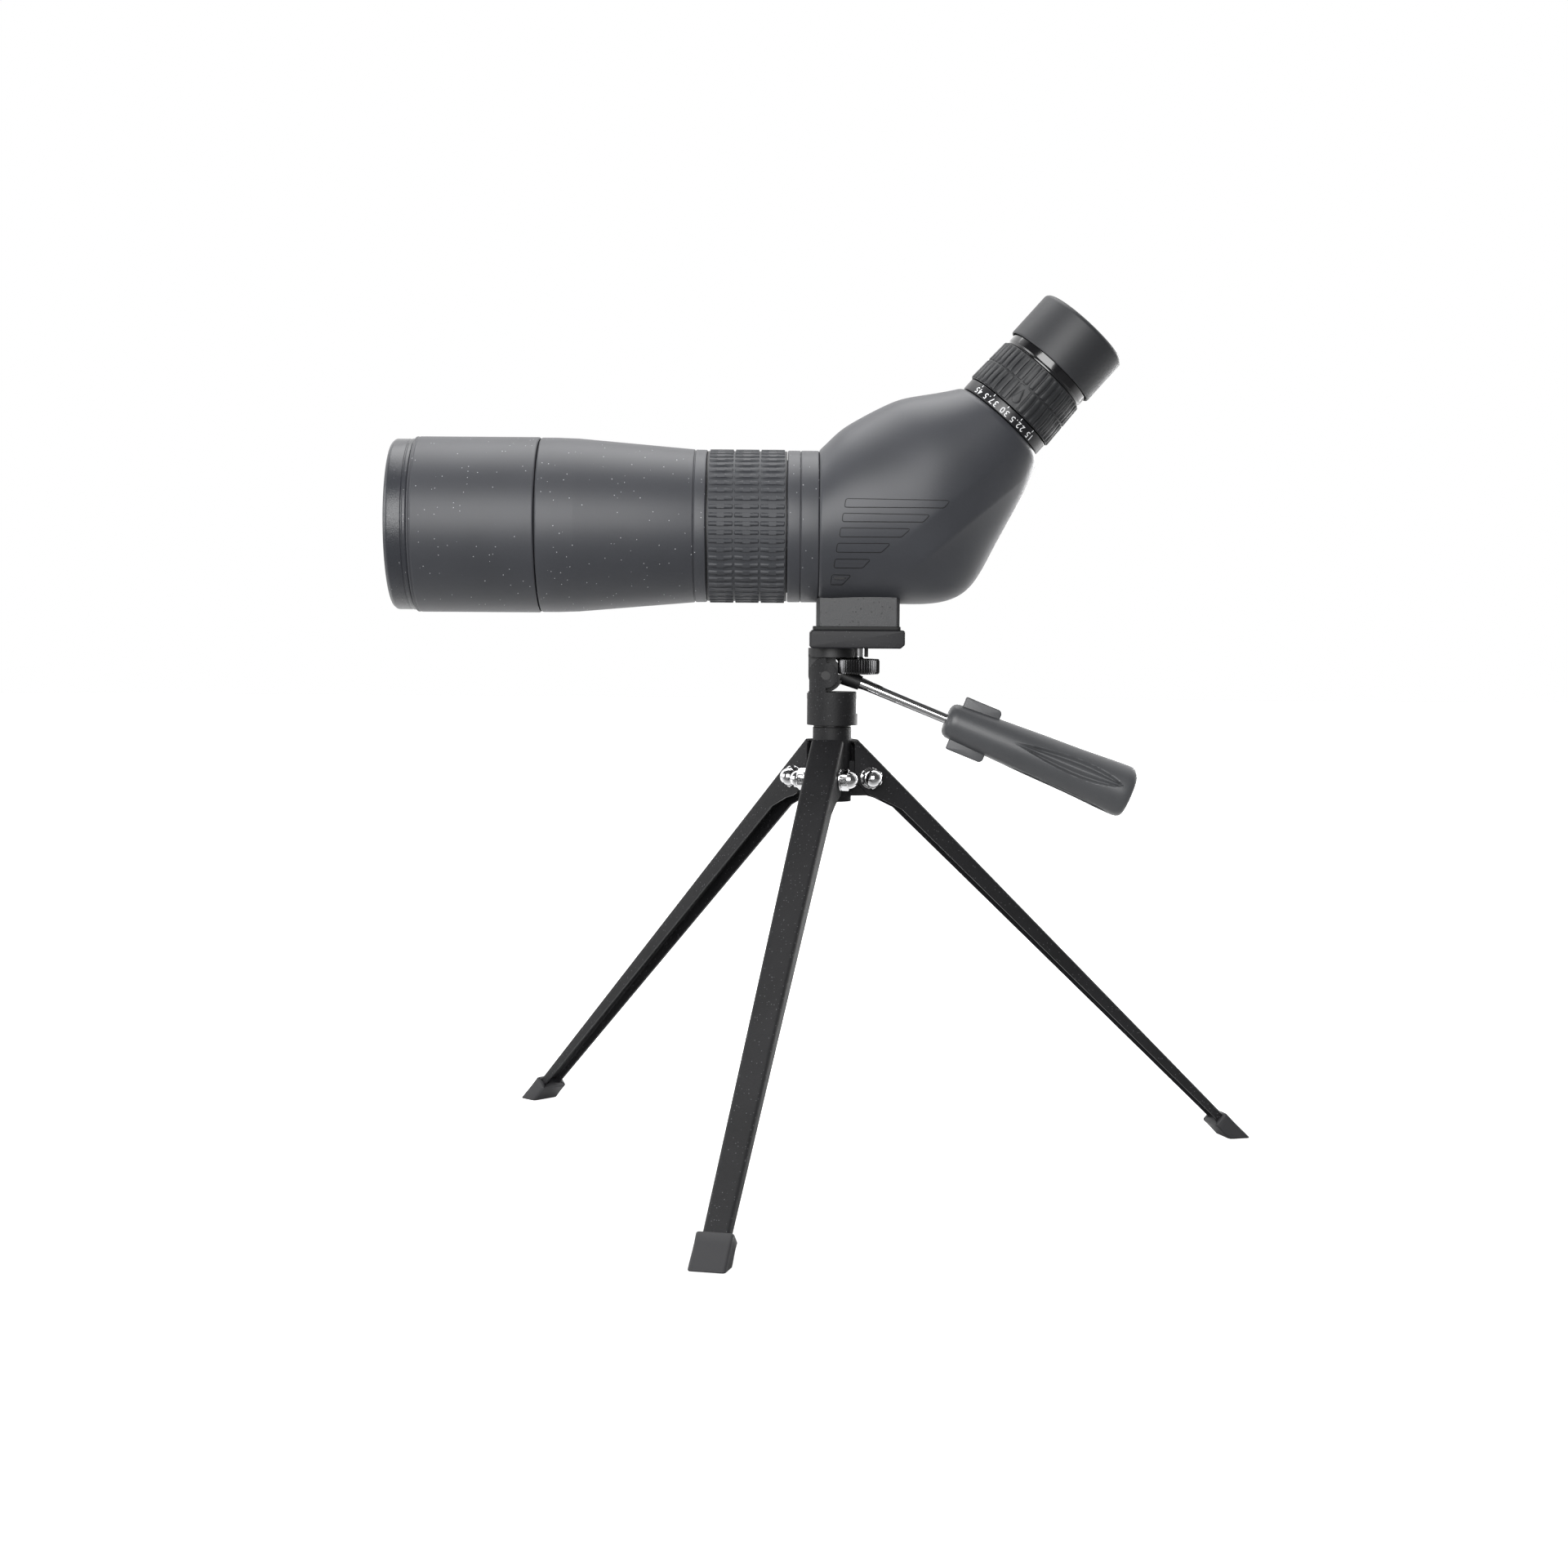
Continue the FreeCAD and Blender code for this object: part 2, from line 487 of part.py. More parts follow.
def prism_housing():
    """Hollow elbow that holds the prism, open in front and bored for the eyepiece."""
    shell = housing_loft(0.0, 0.0).cut(housing_loft(cell("housing_wall"), 1.25))
    front = Vector(cell("housing_front") - 2, 0, cell("axis_height"))
    shell = shell.cut(Part.makeCylinder(cell("housing_mouth"), 6, front, Vector(1, 0, 0)))
    shell = shell.cut(eyepiece_rod(cell("eye_hole"), -6, 2))
    for x in ("foot_screw_left", "foot_screw_right"):
        start = Vector(cell(x), 0, cell("foot_screw_bottom"))
        shell = shell.cut(Part.makeCylinder(cell("foot_screw_hole"), 14, start))
    housing = doc.addObject("Part::Feature", "prism_housing")
    housing.Label = "prism_housing"
    housing.Shape = shell
    return placed(housing)


def prism_corners():
    """Apex, lower front and lower rear corner of the prism's section, as plain numbers."""
    lean = math.radians(cell("eye_angle"))
    x = cell("prism_face")
    top = cell("axis_height") + cell("prism_rise")
    side = cell("prism_side")
    return ((x, top), (x, top - side), (x + side * math.sin(lean), top - side * math.cos(lean)))


def flat_prism(name, corners, half):
    """Straight-sided block: a section in the XZ plane, half as thick each way along Y."""
    points = [Vector(x, -half, z) for x, z in corners]
    face = Part.Face(Part.makePolygon(points + points[:1]))
    block = doc.addObject("Part::Feature", name)
    block.Shape = face.extrude(Vector(0, 2 * half, 0))
    return block


def prism_group():
    """Roof prism in a two-cheeked cage, held down by a sprung strap."""
    apex, low_front, low_rear = prism_corners()
    blank = flat_prism("prism_blank", prism_corners(), cell("prism_half"))
    base = Vector(low_rear[0] - low_front[0], 0, low_rear[1] - low_front[1])
    length = base.Length
    size = 2 * cell("prism_side")
    roof = Part.makeBox(length + 20, size, size)
    climb = math.degrees(math.atan2(base.z, base.x))
    along = base * (1 / length)
    start = Vector(low_front[0], 0, low_front[1]) - along * 10
    roof.Placement = Placement(start, Rotation(Vector(0, -1, 0), climb) *
                               Rotation(Vector(1, 0, 0), 45))
    wedge = doc.addObject("Part::Feature", "prism_roof")
    wedge.Shape = roof
    placed(boolean("Common", "roof_prism", blank, wedge))

    down = Vector(base.z, 0, -base.x) * (1 / length)
    wall = cell("cage_wall")
    play = cell("cage_play")
    front = low_front[0] - wall
    outer = [(front, low_front[1] - wall)]
    for corner in (low_front, low_rear):
        outer.append((corner[0] + wall * down.x, corner[1] + wall * down.z))
    outer += [(low_rear[0] - 7, low_rear[1] + 12), (front + 1, apex[1] - 6),
              (front, apex[1] - 6)]
    inner = [(front - 3, low_front[1] - play)]
    for corner in (low_front, low_rear):
        inner.append((corner[0] + play * down.x, corner[1] + play * down.z))
    inner += [(low_rear[0] + 6, low_rear[1] + 6), (low_rear[0] - 4, apex[1] + 3),
              (front - 3, apex[1] + 3)]
    placed(boolean("Cut", "prism_cage",
                   flat_prism("cage_blank", outer, cell("cage_half")),
                   flat_prism("cage_inside", inner, cell("cage_gap"))))

    shell = box("strap_outside", "prism_face + 1.0", "prism_face + strap_width + 1.0",
                "0.0 - strap_half", "strap_half", "axis_height - strap_drop",
                "axis_height + strap_rise")
    inside = box("strap_inside", "prism_face", "prism_face + strap_width + 2.0",
                 "0.0 - cage_half - strap_play", "cage_half + strap_play",
                 "axis_height - strap_drop - 1.0", "axis_height + strap_rise - strap_sheet")
    placed(boolean("Cut", "prism_strap", shell, inside))


def mounting_foot():
    """Block under the housing, cut to the skin it sits against, with an insert and screws."""
    block = box("foot_block", "block_left", "block_right", "0.0 - block_half", "block_half",
                "block_bottom", "block_top")
    edges = doc.addObject("Part::Chamfer", "foot_edges")
    edges.Base = block
    size = cell("block_chamfer")
    doc.recompute()
    upright = [number for number, edge in enumerate(block.Shape.Edges, start=1)
               if abs(edge.tangentAt(edge.FirstParameter).z) > 0.99]
    edges.Edges = [(number, size, size) for number in upright]
    skin = doc.addObject("Part::Feature", "foot_skin")
    skin.Shape = housing_loft(0.0, 0.0)
    ring = rod("foot_ring_room", "band_radius + ring_room", "housing_front - coupling_front",
               (cell("coupling_front"), 0, cell("axis_height")), Rotation(Vector(0, 1, 0), 90))
    bore = rod("foot_bore", "insert_radius + 0.02", "insert_top - block_bottom + 1.0",
               (cell("screw_x"), 0, cell("block_bottom") - 1))
    holes = [rod(f"{x}_hole", "foot_screw_radius + 0.02", "block_top - foot_screw_bottom",
                 (cell(x), 0, cell("foot_screw_bottom")))
             for x in ("foot_screw_left", "foot_screw_right")]
    placed(boolean("Cut", "mounting_foot", edges, skin, ring, bore, *holes))

    insert = rod("insert_blank", "insert_radius", "insert_top - block_bottom",
                 (cell("screw_x"), 0, cell("block_bottom")))
    thread = rod("insert_thread", "thread_bore", "insert_top - block_bottom - 1.5",
                 (cell("screw_x"), 0, cell("block_bottom") - 0.01))
    placed(boolean("Cut", "foot_insert", insert, thread))

    screws = []
    for x in ("foot_screw_left", "foot_screw_right"):
        start = (cell(x), 0, cell("foot_screw_bottom") + 0.1)
        screws.append(rod(f"{x}_shank", "foot_screw_radius",
                          "foot_screw_seat - foot_screw_bottom - 0.1", start))
        screws.append(rod(f"{x}_head", "foot_screw_head", "foot_screw_head_height",
                          (cell(x), 0, cell("foot_screw_seat"))))
    placed(boolean("Fuse", "foot_screws", *screws))


def moving_group(name, bottom):
    """Lens group of the zoom: a short cell and its lens."""
    on_eyepiece(ring(name + "_cell", bottom, f"{bottom} + moving_cell_length",
                     "moving_cell_bore", "moving_cell_radius", "0.2"))
    on_eyepiece(lens(name + "_lens", f"{bottom} + 1.5", f"{bottom} + 6.5",
                     "moving_lens_radius", "moving_curve", "moving_curve"))


def eyepiece():
    """Zoom eyepiece: fixed scale and tube, turning ring, two sliding groups, pull-up eyecup."""
    on_eyepiece(turned("eyepiece_socket", [
        ("socket_rear", "socket_bore"), ("socket_top", "socket_bore"),
        ("socket_top", "socket_radius"), ("flange_face", "socket_radius"),
        ("flange_face", "socket_flange"), ("flange_back", "socket_flange"),
        ("flange_back", "socket_radius"), ("socket_rear", "socket_radius")]))
    on_eyepiece(ring("scale_sleeve", "0.08", "scale_top", "socket_radius + 0.02",
                     "scale_radius"))
    on_eyepiece(ring("eyepiece_tube", "socket_rear", "eye_tube_top", "eye_tube_bore",
                     "eye_tube_radius"))
    on_eyepiece(turned("zoom_ring", [
        ("zoom_bottom", "zoom_bore"), ("zoom_cam_bottom", "zoom_bore"),
        ("zoom_cam_bottom", "zoom_cam_radius"), ("zoom_cam_top", "zoom_cam_radius"),
        ("zoom_cam_top", "zoom_bore"), ("zoom_top", "zoom_bore"), ("zoom_top", "zoom_core"),
        ("zoom_bottom", "zoom_core")]))
    on_eyepiece(turned("zoom_grip", [
        ("zoom_bottom", "zoom_core + 0.02"), ("zoom_top", "zoom_core + 0.02"),
        ("zoom_top", "zoom_high_radius - edge"), ("zoom_top - edge", "zoom_high_radius"),
        ("zoom_bottom + edge", "zoom_low_radius"), ("zoom_bottom", "zoom_low_radius - edge")]))
    on_eyepiece(turned("eyepiece_neck", [
        ("neck_bottom", "eye_tube_radius + 0.03"), ("eye_tube_top + 0.1", "eye_tube_radius + 0.03"),
        ("eye_tube_top + 0.1", "eye_cell_radius + 0.03"),
        ("neck_top", "eye_cell_radius + 0.03"), ("neck_top", "neck_tube"),
        ("neck_shoulder", "neck_tube"), ("neck_shoulder", "neck_radius"),
        ("neck_bottom", "neck_radius")]))
    on_eyepiece(ring("eye_lens_cell", "eye_cell_bottom", "eye_cell_top", "eye_cell_bore",
                     "eye_cell_radius"))
    on_eyepiece(lens("eye_lens_inner", "eye_cell_bottom + 1.5", "eye_cell_bottom + 6.5",
                     "eye_lens_radius", "eye_curve + 10", "eye_curve + 30"))
    on_eyepiece(lens("eye_lens_outer", "eye_cell_bottom + 7.5", "eye_cell_bottom + 13.0",
                     "eye_lens_radius", "eye_curve + 70", "eye_curve"))
    moving_group("field", "field_cell_bottom")
    moving_group("zoom", "zoom_cell_bottom")
    on_eyepiece(ring("eyecup_sleeve", "cup_core_bottom", "cup_core_top", "cup_core_bore",
                     "cup_core_radius", "0.2"))
    on_eyepiece(turned("eyecup", [
        ("cup_bottom", "cup_skirt"), ("cup_core_bottom - 0.05", "cup_skirt"),
        ("cup_core_bottom - 0.05", "cup_core_radius + 0.03"),
        ("cup_core_top + 0.05", "cup_core_radius + 0.03"),
        ("cup_core_top + 0.05", "cup_core_bore + 0.2"), ("cup_top - 0.6", "cup_mouth - 0.3"),
        ("cup_top", "cup_mouth + 0.4"), ("cup_top", "cup_radius - 1.4"),
        ("cup_top - 0.5", "cup_radius - 0.5"), ("cup_top - 1.6", "cup_radius"),
        ("cup_bottom + 0.4", "cup_radius"), ("cup_bottom", "cup_radius - 0.4")]))


def camera_plate():
    """Plate and pad under the foot, the screws that hold the plate, and the camera screw."""
    plate_body = new_body("camera_plate")
    side = sketch_on(plate_body, "XZ_Plane", "plate_side")
    outline(side, [
        ("plate_left + 1.0", "plate_bottom"), ("plate_right - 1.8", "plate_bottom"),
        ("plate_right", "plate_bottom + 1.6"), ("plate_right", "plate_top - 0.6"),
        ("plate_right - 0.6", "plate_top"), ("plate_left + 1.2", "plate_top"),
        ("plate_left", "plate_top - 1.2"), ("plate_left", "plate_bottom + 0.6")])
    pad(plate_body, side, "plate_width", "plate_block")
    hole = sketch_on(plate_body, "XY_Plane", "plate_hole", cell("plate_bottom") - 1)
    circle(hole, "screw_x", "0", "screw_hole")
    pocket(plate_body, hole, "plate_top - plate_bottom + 2", "plate_hole_cut", False, True)
    for x in PLATE_SCREWS:
        seat = sketch_on(plate_body, "XY_Plane", f"{x}_seat", cell("plate_bottom") - 1)
        circle(seat, x, "0", "plate_screw_hole")
        pocket(plate_body, seat, "plate_top - plate_bottom + 2", f"{x}_seat_cut", False, True)
        sink = sketch_on(plate_body, "XY_Plane", f"{x}_sink",
                         cell("plate_top") - cell("plate_sink_depth"))
        circle(sink, x, "0", "plate_sink")
        pocket(plate_body, sink, "plate_sink_depth + 1.0", f"{x}_sink_cut", False, True)
    placed(plate_body)

    pad_body = new_body("plate_pad")
    top = sketch_on(pad_body, "XY_Plane", "pad_top_view", cell("plate_top") + 0.02)
    outline(top, [("pad_left", "0.0 - pad_half"), ("pad_right", "0.0 - pad_half"),
                  ("pad_right", "pad_half"), ("pad_left", "pad_half")])
    pad(pad_body, top, "pad_top - plate_top - 0.02", "pad_sheet", False)
    hole = sketch_on(pad_body, "XY_Plane", "pad_hole", cell("plate_top") - 1)
    circle(hole, "screw_x", "0", "screw_hole")
    pocket(pad_body, hole, "pad_top - plate_top + 2", "pad_hole_cut", False, True)
    placed(pad_body)

    screws = []
    for x in PLATE_SCREWS:
        screws.append(rod(f"{x}_shank", "plate_screw_radius", "plate_top - rib_bottom - 2.0",
                          (cell(x), 0, cell("rib_bottom") + 0.4)))
        screws.append(rod(f"{x}_head", "plate_screw_head", "plate_sink_depth - 0.1",
                          (cell(x), 0, cell("plate_top") - cell("plate_sink_depth"))))
    placed(boolean("Fuse", "plate_screws", *screws))

    shaft = turned("camera_screw", [
        ("knob_top + 0.02", "0"), ("screw_top", "0"), ("screw_top", "screw_thread - 0.5"),
        ("screw_top - 0.5", "screw_thread"), ("plate_bottom + 2.0", "screw_thread"),
        ("plate_bottom + 2.0", "screw_neck"), ("knob_top + 0.02", "screw_neck")])
    placed(shaft, x=cell("screw_x"), rise=90.0)
    knob = turned("screw_knob", [
        ("knob_bottom", "0"), ("knob_top", "0"), ("knob_top", "knob_radius - 0.4"),
        ("knob_top - 0.4", "knob_radius"), ("knob_bottom + 0.4", "knob_radius"),
        ("knob_bottom", "knob_radius - 0.4")])
    placed(knob, x=cell("screw_x"), rise=90.0)


def tilt_head():
    """Tongue on the tilt pin, the rib that carries the plate, and the boss for the handle."""
    column = rod("head_column", "head_radius", "plate_bottom - rib_bottom - 0.03",
                 (0, 0, cell("rib_bottom")))
    rib = box("head_rib", "0.0", "rib_right", "rib_front", "rib_back", "rib_bottom",
              "plate_bottom - 0.03")
    disc = rod("head_disc", "tongue_radius", "tongue_half + tongue_half",
               (cell("pin_x"), cell("tongue_half"), cell("pin_height")),
               Rotation(Vector(1, 0, 0), 90))
    web = box("head_web", "tongue_left", "tongue_right", "0.0 - tongue_half", "tongue_half",
              "pin_height", "rib_bottom + 1.0")
    down = math.radians(cell("rod_drop"))
    along = Vector(math.cos(down), 0, -math.sin(down))
    lie = Rotation(Vector(0, 0, 1), along)
    crossing = Vector(0, 0, cell("rod_height"))
    boss = doc.addObject("Part::Cone", "head_boss")
    bind(boss, Radius1="boss_radius", Radius2="boss_tip_radius", Height="boss_end - boss_start")
    boss.Placement = Placement(crossing + along * cell("boss_start"), lie)
    bridge = rod("head_bridge", "tongue_half - 0.1", "boss_start + 0.5", crossing, lie)
    solid = boolean("Fuse", "head_casting", column, rib, disc, web, boss, bridge)
    pin_bore = rod("head_pin_bore", "pin_bore", "long_tool",
                   (cell("pin_x"), cell("long_tool") / 2, cell("pin_height")),
                   Rotation(Vector(1, 0, 0), 90))
    rod_bore = rod("head_rod_bore", "rod_bore", "boss_end - rod_start + 1.0",
                   crossing + along * cell("rod_start"), lie)
    clear = rod("head_knob_room", "knob_radius + 0.5", "knob_top - knob_bottom + 0.6",
                (cell("screw_x"), 0, cell("knob_bottom") - 0.2))
    shaft_room = rod("head_shaft_room", "screw_neck + 0.4", "plate_bottom - rib_bottom + 4.0",
                     (cell("screw_x"), 0, cell("rib_bottom") - 2))
    holes = [rod(f"{x}_thread", "plate_screw_radius + 0.02", "plate_bottom - rib_bottom",
                 (cell(x), 0, cell("rib_bottom") + 0.3)) for x in PLATE_SCREWS]
    placed(boolean("Cut", "tilt_head", solid, pin_bore, rod_bore, clear, shaft_room, *holes))


def handle():
    """Chrome rod and winged grip, on the handle's own axis."""
    on_handle(turned("handle_rod", [
        ("rod_start + 0.1", "0"), ("rod_end", "0"), ("rod_end", "rod_radius"),
        ("rod_start + 0.1", "rod_radius")]))
    grip = turned("handle_grip", [
        ("grip_start", "rod_radius + 0.03"), ("grip_bore_end", "rod_radius + 0.03"),
        ("grip_bore_end", "0"), ("grip_end", "0"), ("grip_end", "grip_rear_radius - 3.5"),
        ("grip_end - 1.2", "grip_rear_radius - 1.2"), ("grip_end - 4.0", "grip_rear_radius"),
        ("grip_start + 1.5", "grip_front_radius"), ("grip_start", "grip_front_radius - 1.5")])
    wings = sketch_on(grip, "XZ_Plane", "wing_side")
    for low, high in (("grip_front_radius - 2.0", "wing_reach"),
                      ("0.0 - wing_reach", "2.0 - grip_front_radius")):
        outline(wings, [("wing_start", low), ("wing_end", low), ("wing_end", high),
                        ("wing_start", high)])
    pad(grip, wings, "wing_half + wing_half", "wing_blades")
    on_handle(grip)


def pan_base():
    """Collar and fork that turn on the hub, with the tilt pin, the pan bolt and its washer."""
    collar = rod("pan_collar", "collar_radius", "collar_top - collar_bottom",
                 (0, 0, cell("collar_bottom")))
    post = rod("pan_post", "head_radius", "rib_bottom - collar_top - 0.2",
               (0, 0, cell("collar_top") - 0.1))
    far = (cell("pin_x"), cell("long_tool") / 2, cell("pin_height"))
    across = Rotation(Vector(1, 0, 0), 90)
    disc = rod("ear_disc", "ear_radius", "long_tool", far, across)
    crown = rod("ear_crown", "ear_top_radius", "long_tool", far, across)
    left = box("ear_left", "0.0 - ear_reach", "pin_x", "0.0 - ear_reach", "ear_reach",
               "collar_top - 1.0", "pin_height")
    upper = box("ear_upper", "0.0 - ear_reach", "pin_x", "0.0 - ear_reach", "ear_reach",
                "pin_height - 1.0", "rib_bottom")
    crown_left = boolean("Common", "ear_crown_left", crown, upper)
    side = boolean("Fuse", "ear_side", disc, left, crown_left)
    ears = boolean("Common", "pan_ears", post, side)
    body = boolean("Fuse", "pan_blank", collar, ears)
    slot = box("pan_slot", "0.0 - long_tool", "long_tool", "0.0 - ear_gap", "ear_gap",
               "collar_top - slot_sink", "rib_bottom + 1.0")
    notch = box("pan_notch", "notch_left", "long_tool", "0.0 - collar_notch", "collar_notch",
                "notch_bottom", "collar_top + 1.0")
    pin_hole = rod("pan_pin_hole", "pin_radius + 0.02", "long_tool", far, across)
    bolt_hole = rod("pan_bolt_hole", "bolt_radius + 0.02", "bolt_top - collar_bottom + 1.1",
                    (0, 0, cell("collar_bottom") - 1))
    placed(boolean("Cut", "pan_base", body, slot, notch, pin_hole, bolt_hole))

    pin = rod("tilt_pin", "pin_radius", "pin_half + pin_half")
    pin.Label = "tilt_pin"
    placed(pin, x=cell("pin_x"), y=cell("pin_half"), z=cell("pin_height"))
    pin.Placement.Rotation = Rotation(Vector(1, 0, 0), 90)
    on_column(turned("pan_bolt", [
        ("hub_bottom + edge", "0"), ("bolt_top", "0"), ("bolt_top", "bolt_radius"),
        ("hub_bottom + bolt_seat - 0.05", "bolt_radius"),
        ("hub_bottom + bolt_seat - 0.05", "bolt_head"), ("hub_bottom + edge", "bolt_head")]))
    on_column(ring("pan_washer", "washer_bottom", "washer_top", "bolt_bore", "washer_radius",
                   "0.2"))


def leg_azimuths():
    return [(name, cell("leg_azimuth") + 120.0 * number) for number, name in enumerate(LEG_NAMES)]


def leg_hub():
    """Round core with three lugs between the legs' side walls, bored for the pan bolt."""
    core = rod("hub_core", "hub_radius", "hub_top - hub_bottom", (0, 0, cell("hub_bottom")))
    solids = [core]
    below = (0, 0, cell("hub_bottom") - 2)
    bores = [rod("hub_bore", "bolt_bore", "long_tool", below),
             rod("hub_counterbore", "counterbore", "bolt_seat + 2.0", below)]
    reach = cell("pivot_reach")
    for name, azimuth in leg_azimuths():
        spin = Rotation(Vector(0, 0, 1), azimuth)
        plate = box(f"lug_plate_{name}", "0.0", "pivot_reach", "0.0 - lug_half", "lug_half",
                    "lug_bottom", "lug_top - 4.0")
        plate.Placement = Placement(spin.multVec(Vector(0, -cell("lug_half"),
                                                        cell("lug_bottom"))), spin)
        across = spin * Rotation(Vector(1, 0, 0), 90)
        nose = rod(f"lug_nose_{name}", "lug_radius", "lug_half + lug_half",
                   spin.multVec(Vector(reach, cell("lug_half"), cell("pivot_height"))), across)
        lobe = doc.addObject("Part::MultiFuse", f"lug_blank_{name}")
        lobe.Shapes = [plate, nose]
        solids.append(lobe)
        far = Vector(reach, cell("long_tool") / 2, cell("pivot_height"))
        bores.append(rod(f"lug_bore_{name}", "stud_radius + 0.02", "long_tool",
                         spin.multVec(far), across))
    blank = boolean("Fuse", "hub_blank", *solids)
    placed(boolean("Cut", "leg_hub", blank, *bores))


def pivot_fasteners():
    """Three studs across the lugs, with a washer and a domed nut at each end."""
    studs = []
    washers = []
    nuts = []
    for name, azimuth in leg_azimuths():
        spin = Rotation(Vector(0, 0, 1), azimuth)
        for side in (-1, 1):
            across = spin * Rotation(Vector(1, 0, 0), -90 * side)
            tag = f"{name}_{'a' if side < 0 else 'b'}"
            seat = cell("leg_half_top") + 0.1
            base = spin.multVec(Vector(cell("pivot_reach"), side * seat, cell("pivot_height")))
            outwards = spin.multVec(Vector(0, side, 0))
            washers.append(boolean("Cut", f"washer_{tag}",
                rod(f"washer_disc_{tag}", "nut_washer", "nut_washer_height", base, across),
                rod(f"washer_hole_{tag}", "stud_radius + 0.05", "4",
                    base - outwards * 1, across)))
            base = base + outwards * (cell("nut_washer_height") + 0.02)
            hexagon = doc.addObject("Part::Prism", f"nut_hex_{tag}")
            hexagon.Polygon = 6
            hexagon.setExpression("Circumradius", "dims.nut_half * 1.1547")
            bind(hexagon, Height="nut_height")
            hexagon.Placement = Placement(base, across)
            dome = doc.addObject("Part::Sphere", f"nut_dome_{tag}")
            bind(dome, Radius="nut_dome")
            dome.Placement = Placement(base + outwards * cell("nut_height"), Rotation())
            nut = boolean("Fuse", f"nut_{tag}", hexagon, dome)
            nuts.append(boolean("Cut", f"nut_bored_{tag}", nut,
                rod(f"nut_hole_{tag}", "stud_radius + 0.02", "8",
                    base - outwards * 4.5, across)))
        studs.append(rod(f"stud_{name}", "stud_radius", "stud_half + stud_half",
                         spin.multVec(Vector(cell("pivot_reach"), cell("stud_half"),
                                             cell("pivot_height"))),
                         spin * Rotation(Vector(1, 0, 0), 90)))
    placed(boolean("Fuse", "pivot_studs", *studs))
    placed(boolean("Fuse", "pivot_washers", *washers))
    placed(boolean("Fuse", "cap_nuts", *nuts))


def on_leg(thing, azimuth):
    """Places a piece whose local X axis runs down the leg from its pivot."""
    angle = math.radians(azimuth)
    reach = cell("pivot_reach")
    return placed(thing, x=reach * math.cos(angle), y=reach * math.sin(angle),
                  z=cell("pivot_height"), rise=cell("leg_splay") - 90.0, turn=azimuth)


def leg(name, azimuth):
    """Tapered channel leg: its web outside, its two side walls round the hub's lug."""
    body = new_body("leg_" + name)
    top = sketch_on(body, "XY_Plane", f"leg_{name}_plan", -7.0)
    outline(top, [("leg_top", "0.0 - leg_half_top"), ("0", "0.0 - leg_half_top"),
                  ("leg_end", "0.0 - leg_half_end"), ("leg_end", "leg_half_end"),
                  ("0", "leg_half_top"), ("leg_top", "leg_half_top")])
    pad(body, top, "leg_outer + 7.0", f"leg_{name}_block", False)
    inside = sketch_on(body, "XY_Plane", f"leg_{name}_inside", -7.5)
    outline(inside, [("leg_top - 2.0", "leg_sheet - leg_half_top"),
                     ("0", "leg_sheet - leg_half_top"),
                     ("leg_end + 2.0", "leg_sheet - leg_half_end"),
                     ("leg_end + 2.0", "leg_half_end - leg_sheet"),
                     ("0", "leg_half_top - leg_sheet"),
                     ("leg_top - 2.0", "leg_half_top - leg_sheet")])
    pocket(body, inside, "leg_outer - leg_sheet + 7.5", f"leg_{name}_channel", False, True)
    walls = sketch_on(body, "XZ_Plane", f"leg_{name}_walls")
    outline(walls, [
        ("leg_top - 2.0", "-9.0"), ("leg_end + 2.0", "-9.0"), ("leg_end + 2.0", "flange_far"),
        ("20.0", "flange_near"), ("11.0", "-2.6"), ("5.0", "ear_depth"),
        ("-4.0", "ear_depth"), ("-7.5", "-2.2"), ("leg_top", "5.4"),
        ("leg_top - 2.0", "6.6")])
    pocket(body, walls, "40.0", f"leg_{name}_trim")
    hole = sketch_on(body, "XZ_Plane", f"leg_{name}_hole")
    circle(hole, "0", "0", "stud_bore")
    pocket(body, hole, "40.0", f"leg_{name}_bore")
    on_leg(body, azimuth)


def foot(name, azimuth):
    """Rubber cap over the leg's end, its sole flat on the floor."""
    start = "leg_end - cap_overlap"
    block = box(f"cap_block_{name}", start, "leg_end + cap_length", "0.0 - cap_half", "cap_half",
                "cap_inner", "cap_outer")
    wide = "leg_half_end + 0.1"
    thin = "leg_half_end - leg_sheet - cap_play"
    room = [box(f"cap_wall_{name}", start, "leg_end + cap_play", "0.0 - leg_half_end - 0.1",
                wide, "leg_outer - leg_sheet - cap_play", "leg_outer + cap_play")]
    for tag, low, high in (("a", "0.0 - leg_half_end - 0.1",
                            "leg_sheet + cap_play - leg_half_end"), ("b", thin, wide)):
        room.append(box(f"cap_side_{tag}_{name}", start, "leg_end + cap_play", low, high,
                        "flange_far - cap_play - 0.3", "leg_outer"))
    sock = boolean("Cut", f"cap_sock_{name}", block, *room)
    angle = math.radians(azimuth)
    reach = cell("pivot_reach")
    spin = Rotation(Vector(0, 0, 1), azimuth) * Rotation(Vector(0, -1, 0),
                                                         cell("leg_splay") - 90.0)
    sock.Placement = Placement(Vector(reach * math.cos(angle), reach * math.sin(angle),
                                      cell("pivot_height")), spin)
    floor = box(f"cap_floor_{name}", "-400.0", "400.0", "-400.0", "400.0", "-60.0", "0.0")
    placed(boolean("Cut", "foot_" + name, sock, floor))


def legs():
    for name, azimuth in leg_azimuths():
        leg(name, azimuth)
        foot(name, azimuth)


def sub_parts():
    """Every finished object: a body, or a shape that no other object uses."""
    used = set()
    for thing in doc.Objects:
        if thing.TypeId.startswith("Part::"):
            used.update(item.Name for item in thing.OutList)
    finished = []
    for thing in doc.Objects:
        solid = thing.TypeId.startswith("Part::") or thing.TypeId == "PartDesign::Body"
        if solid and thing.Name not in used and thing.getParentGeoFeatureGroup() is None:
            finished.append(thing)
    return finished


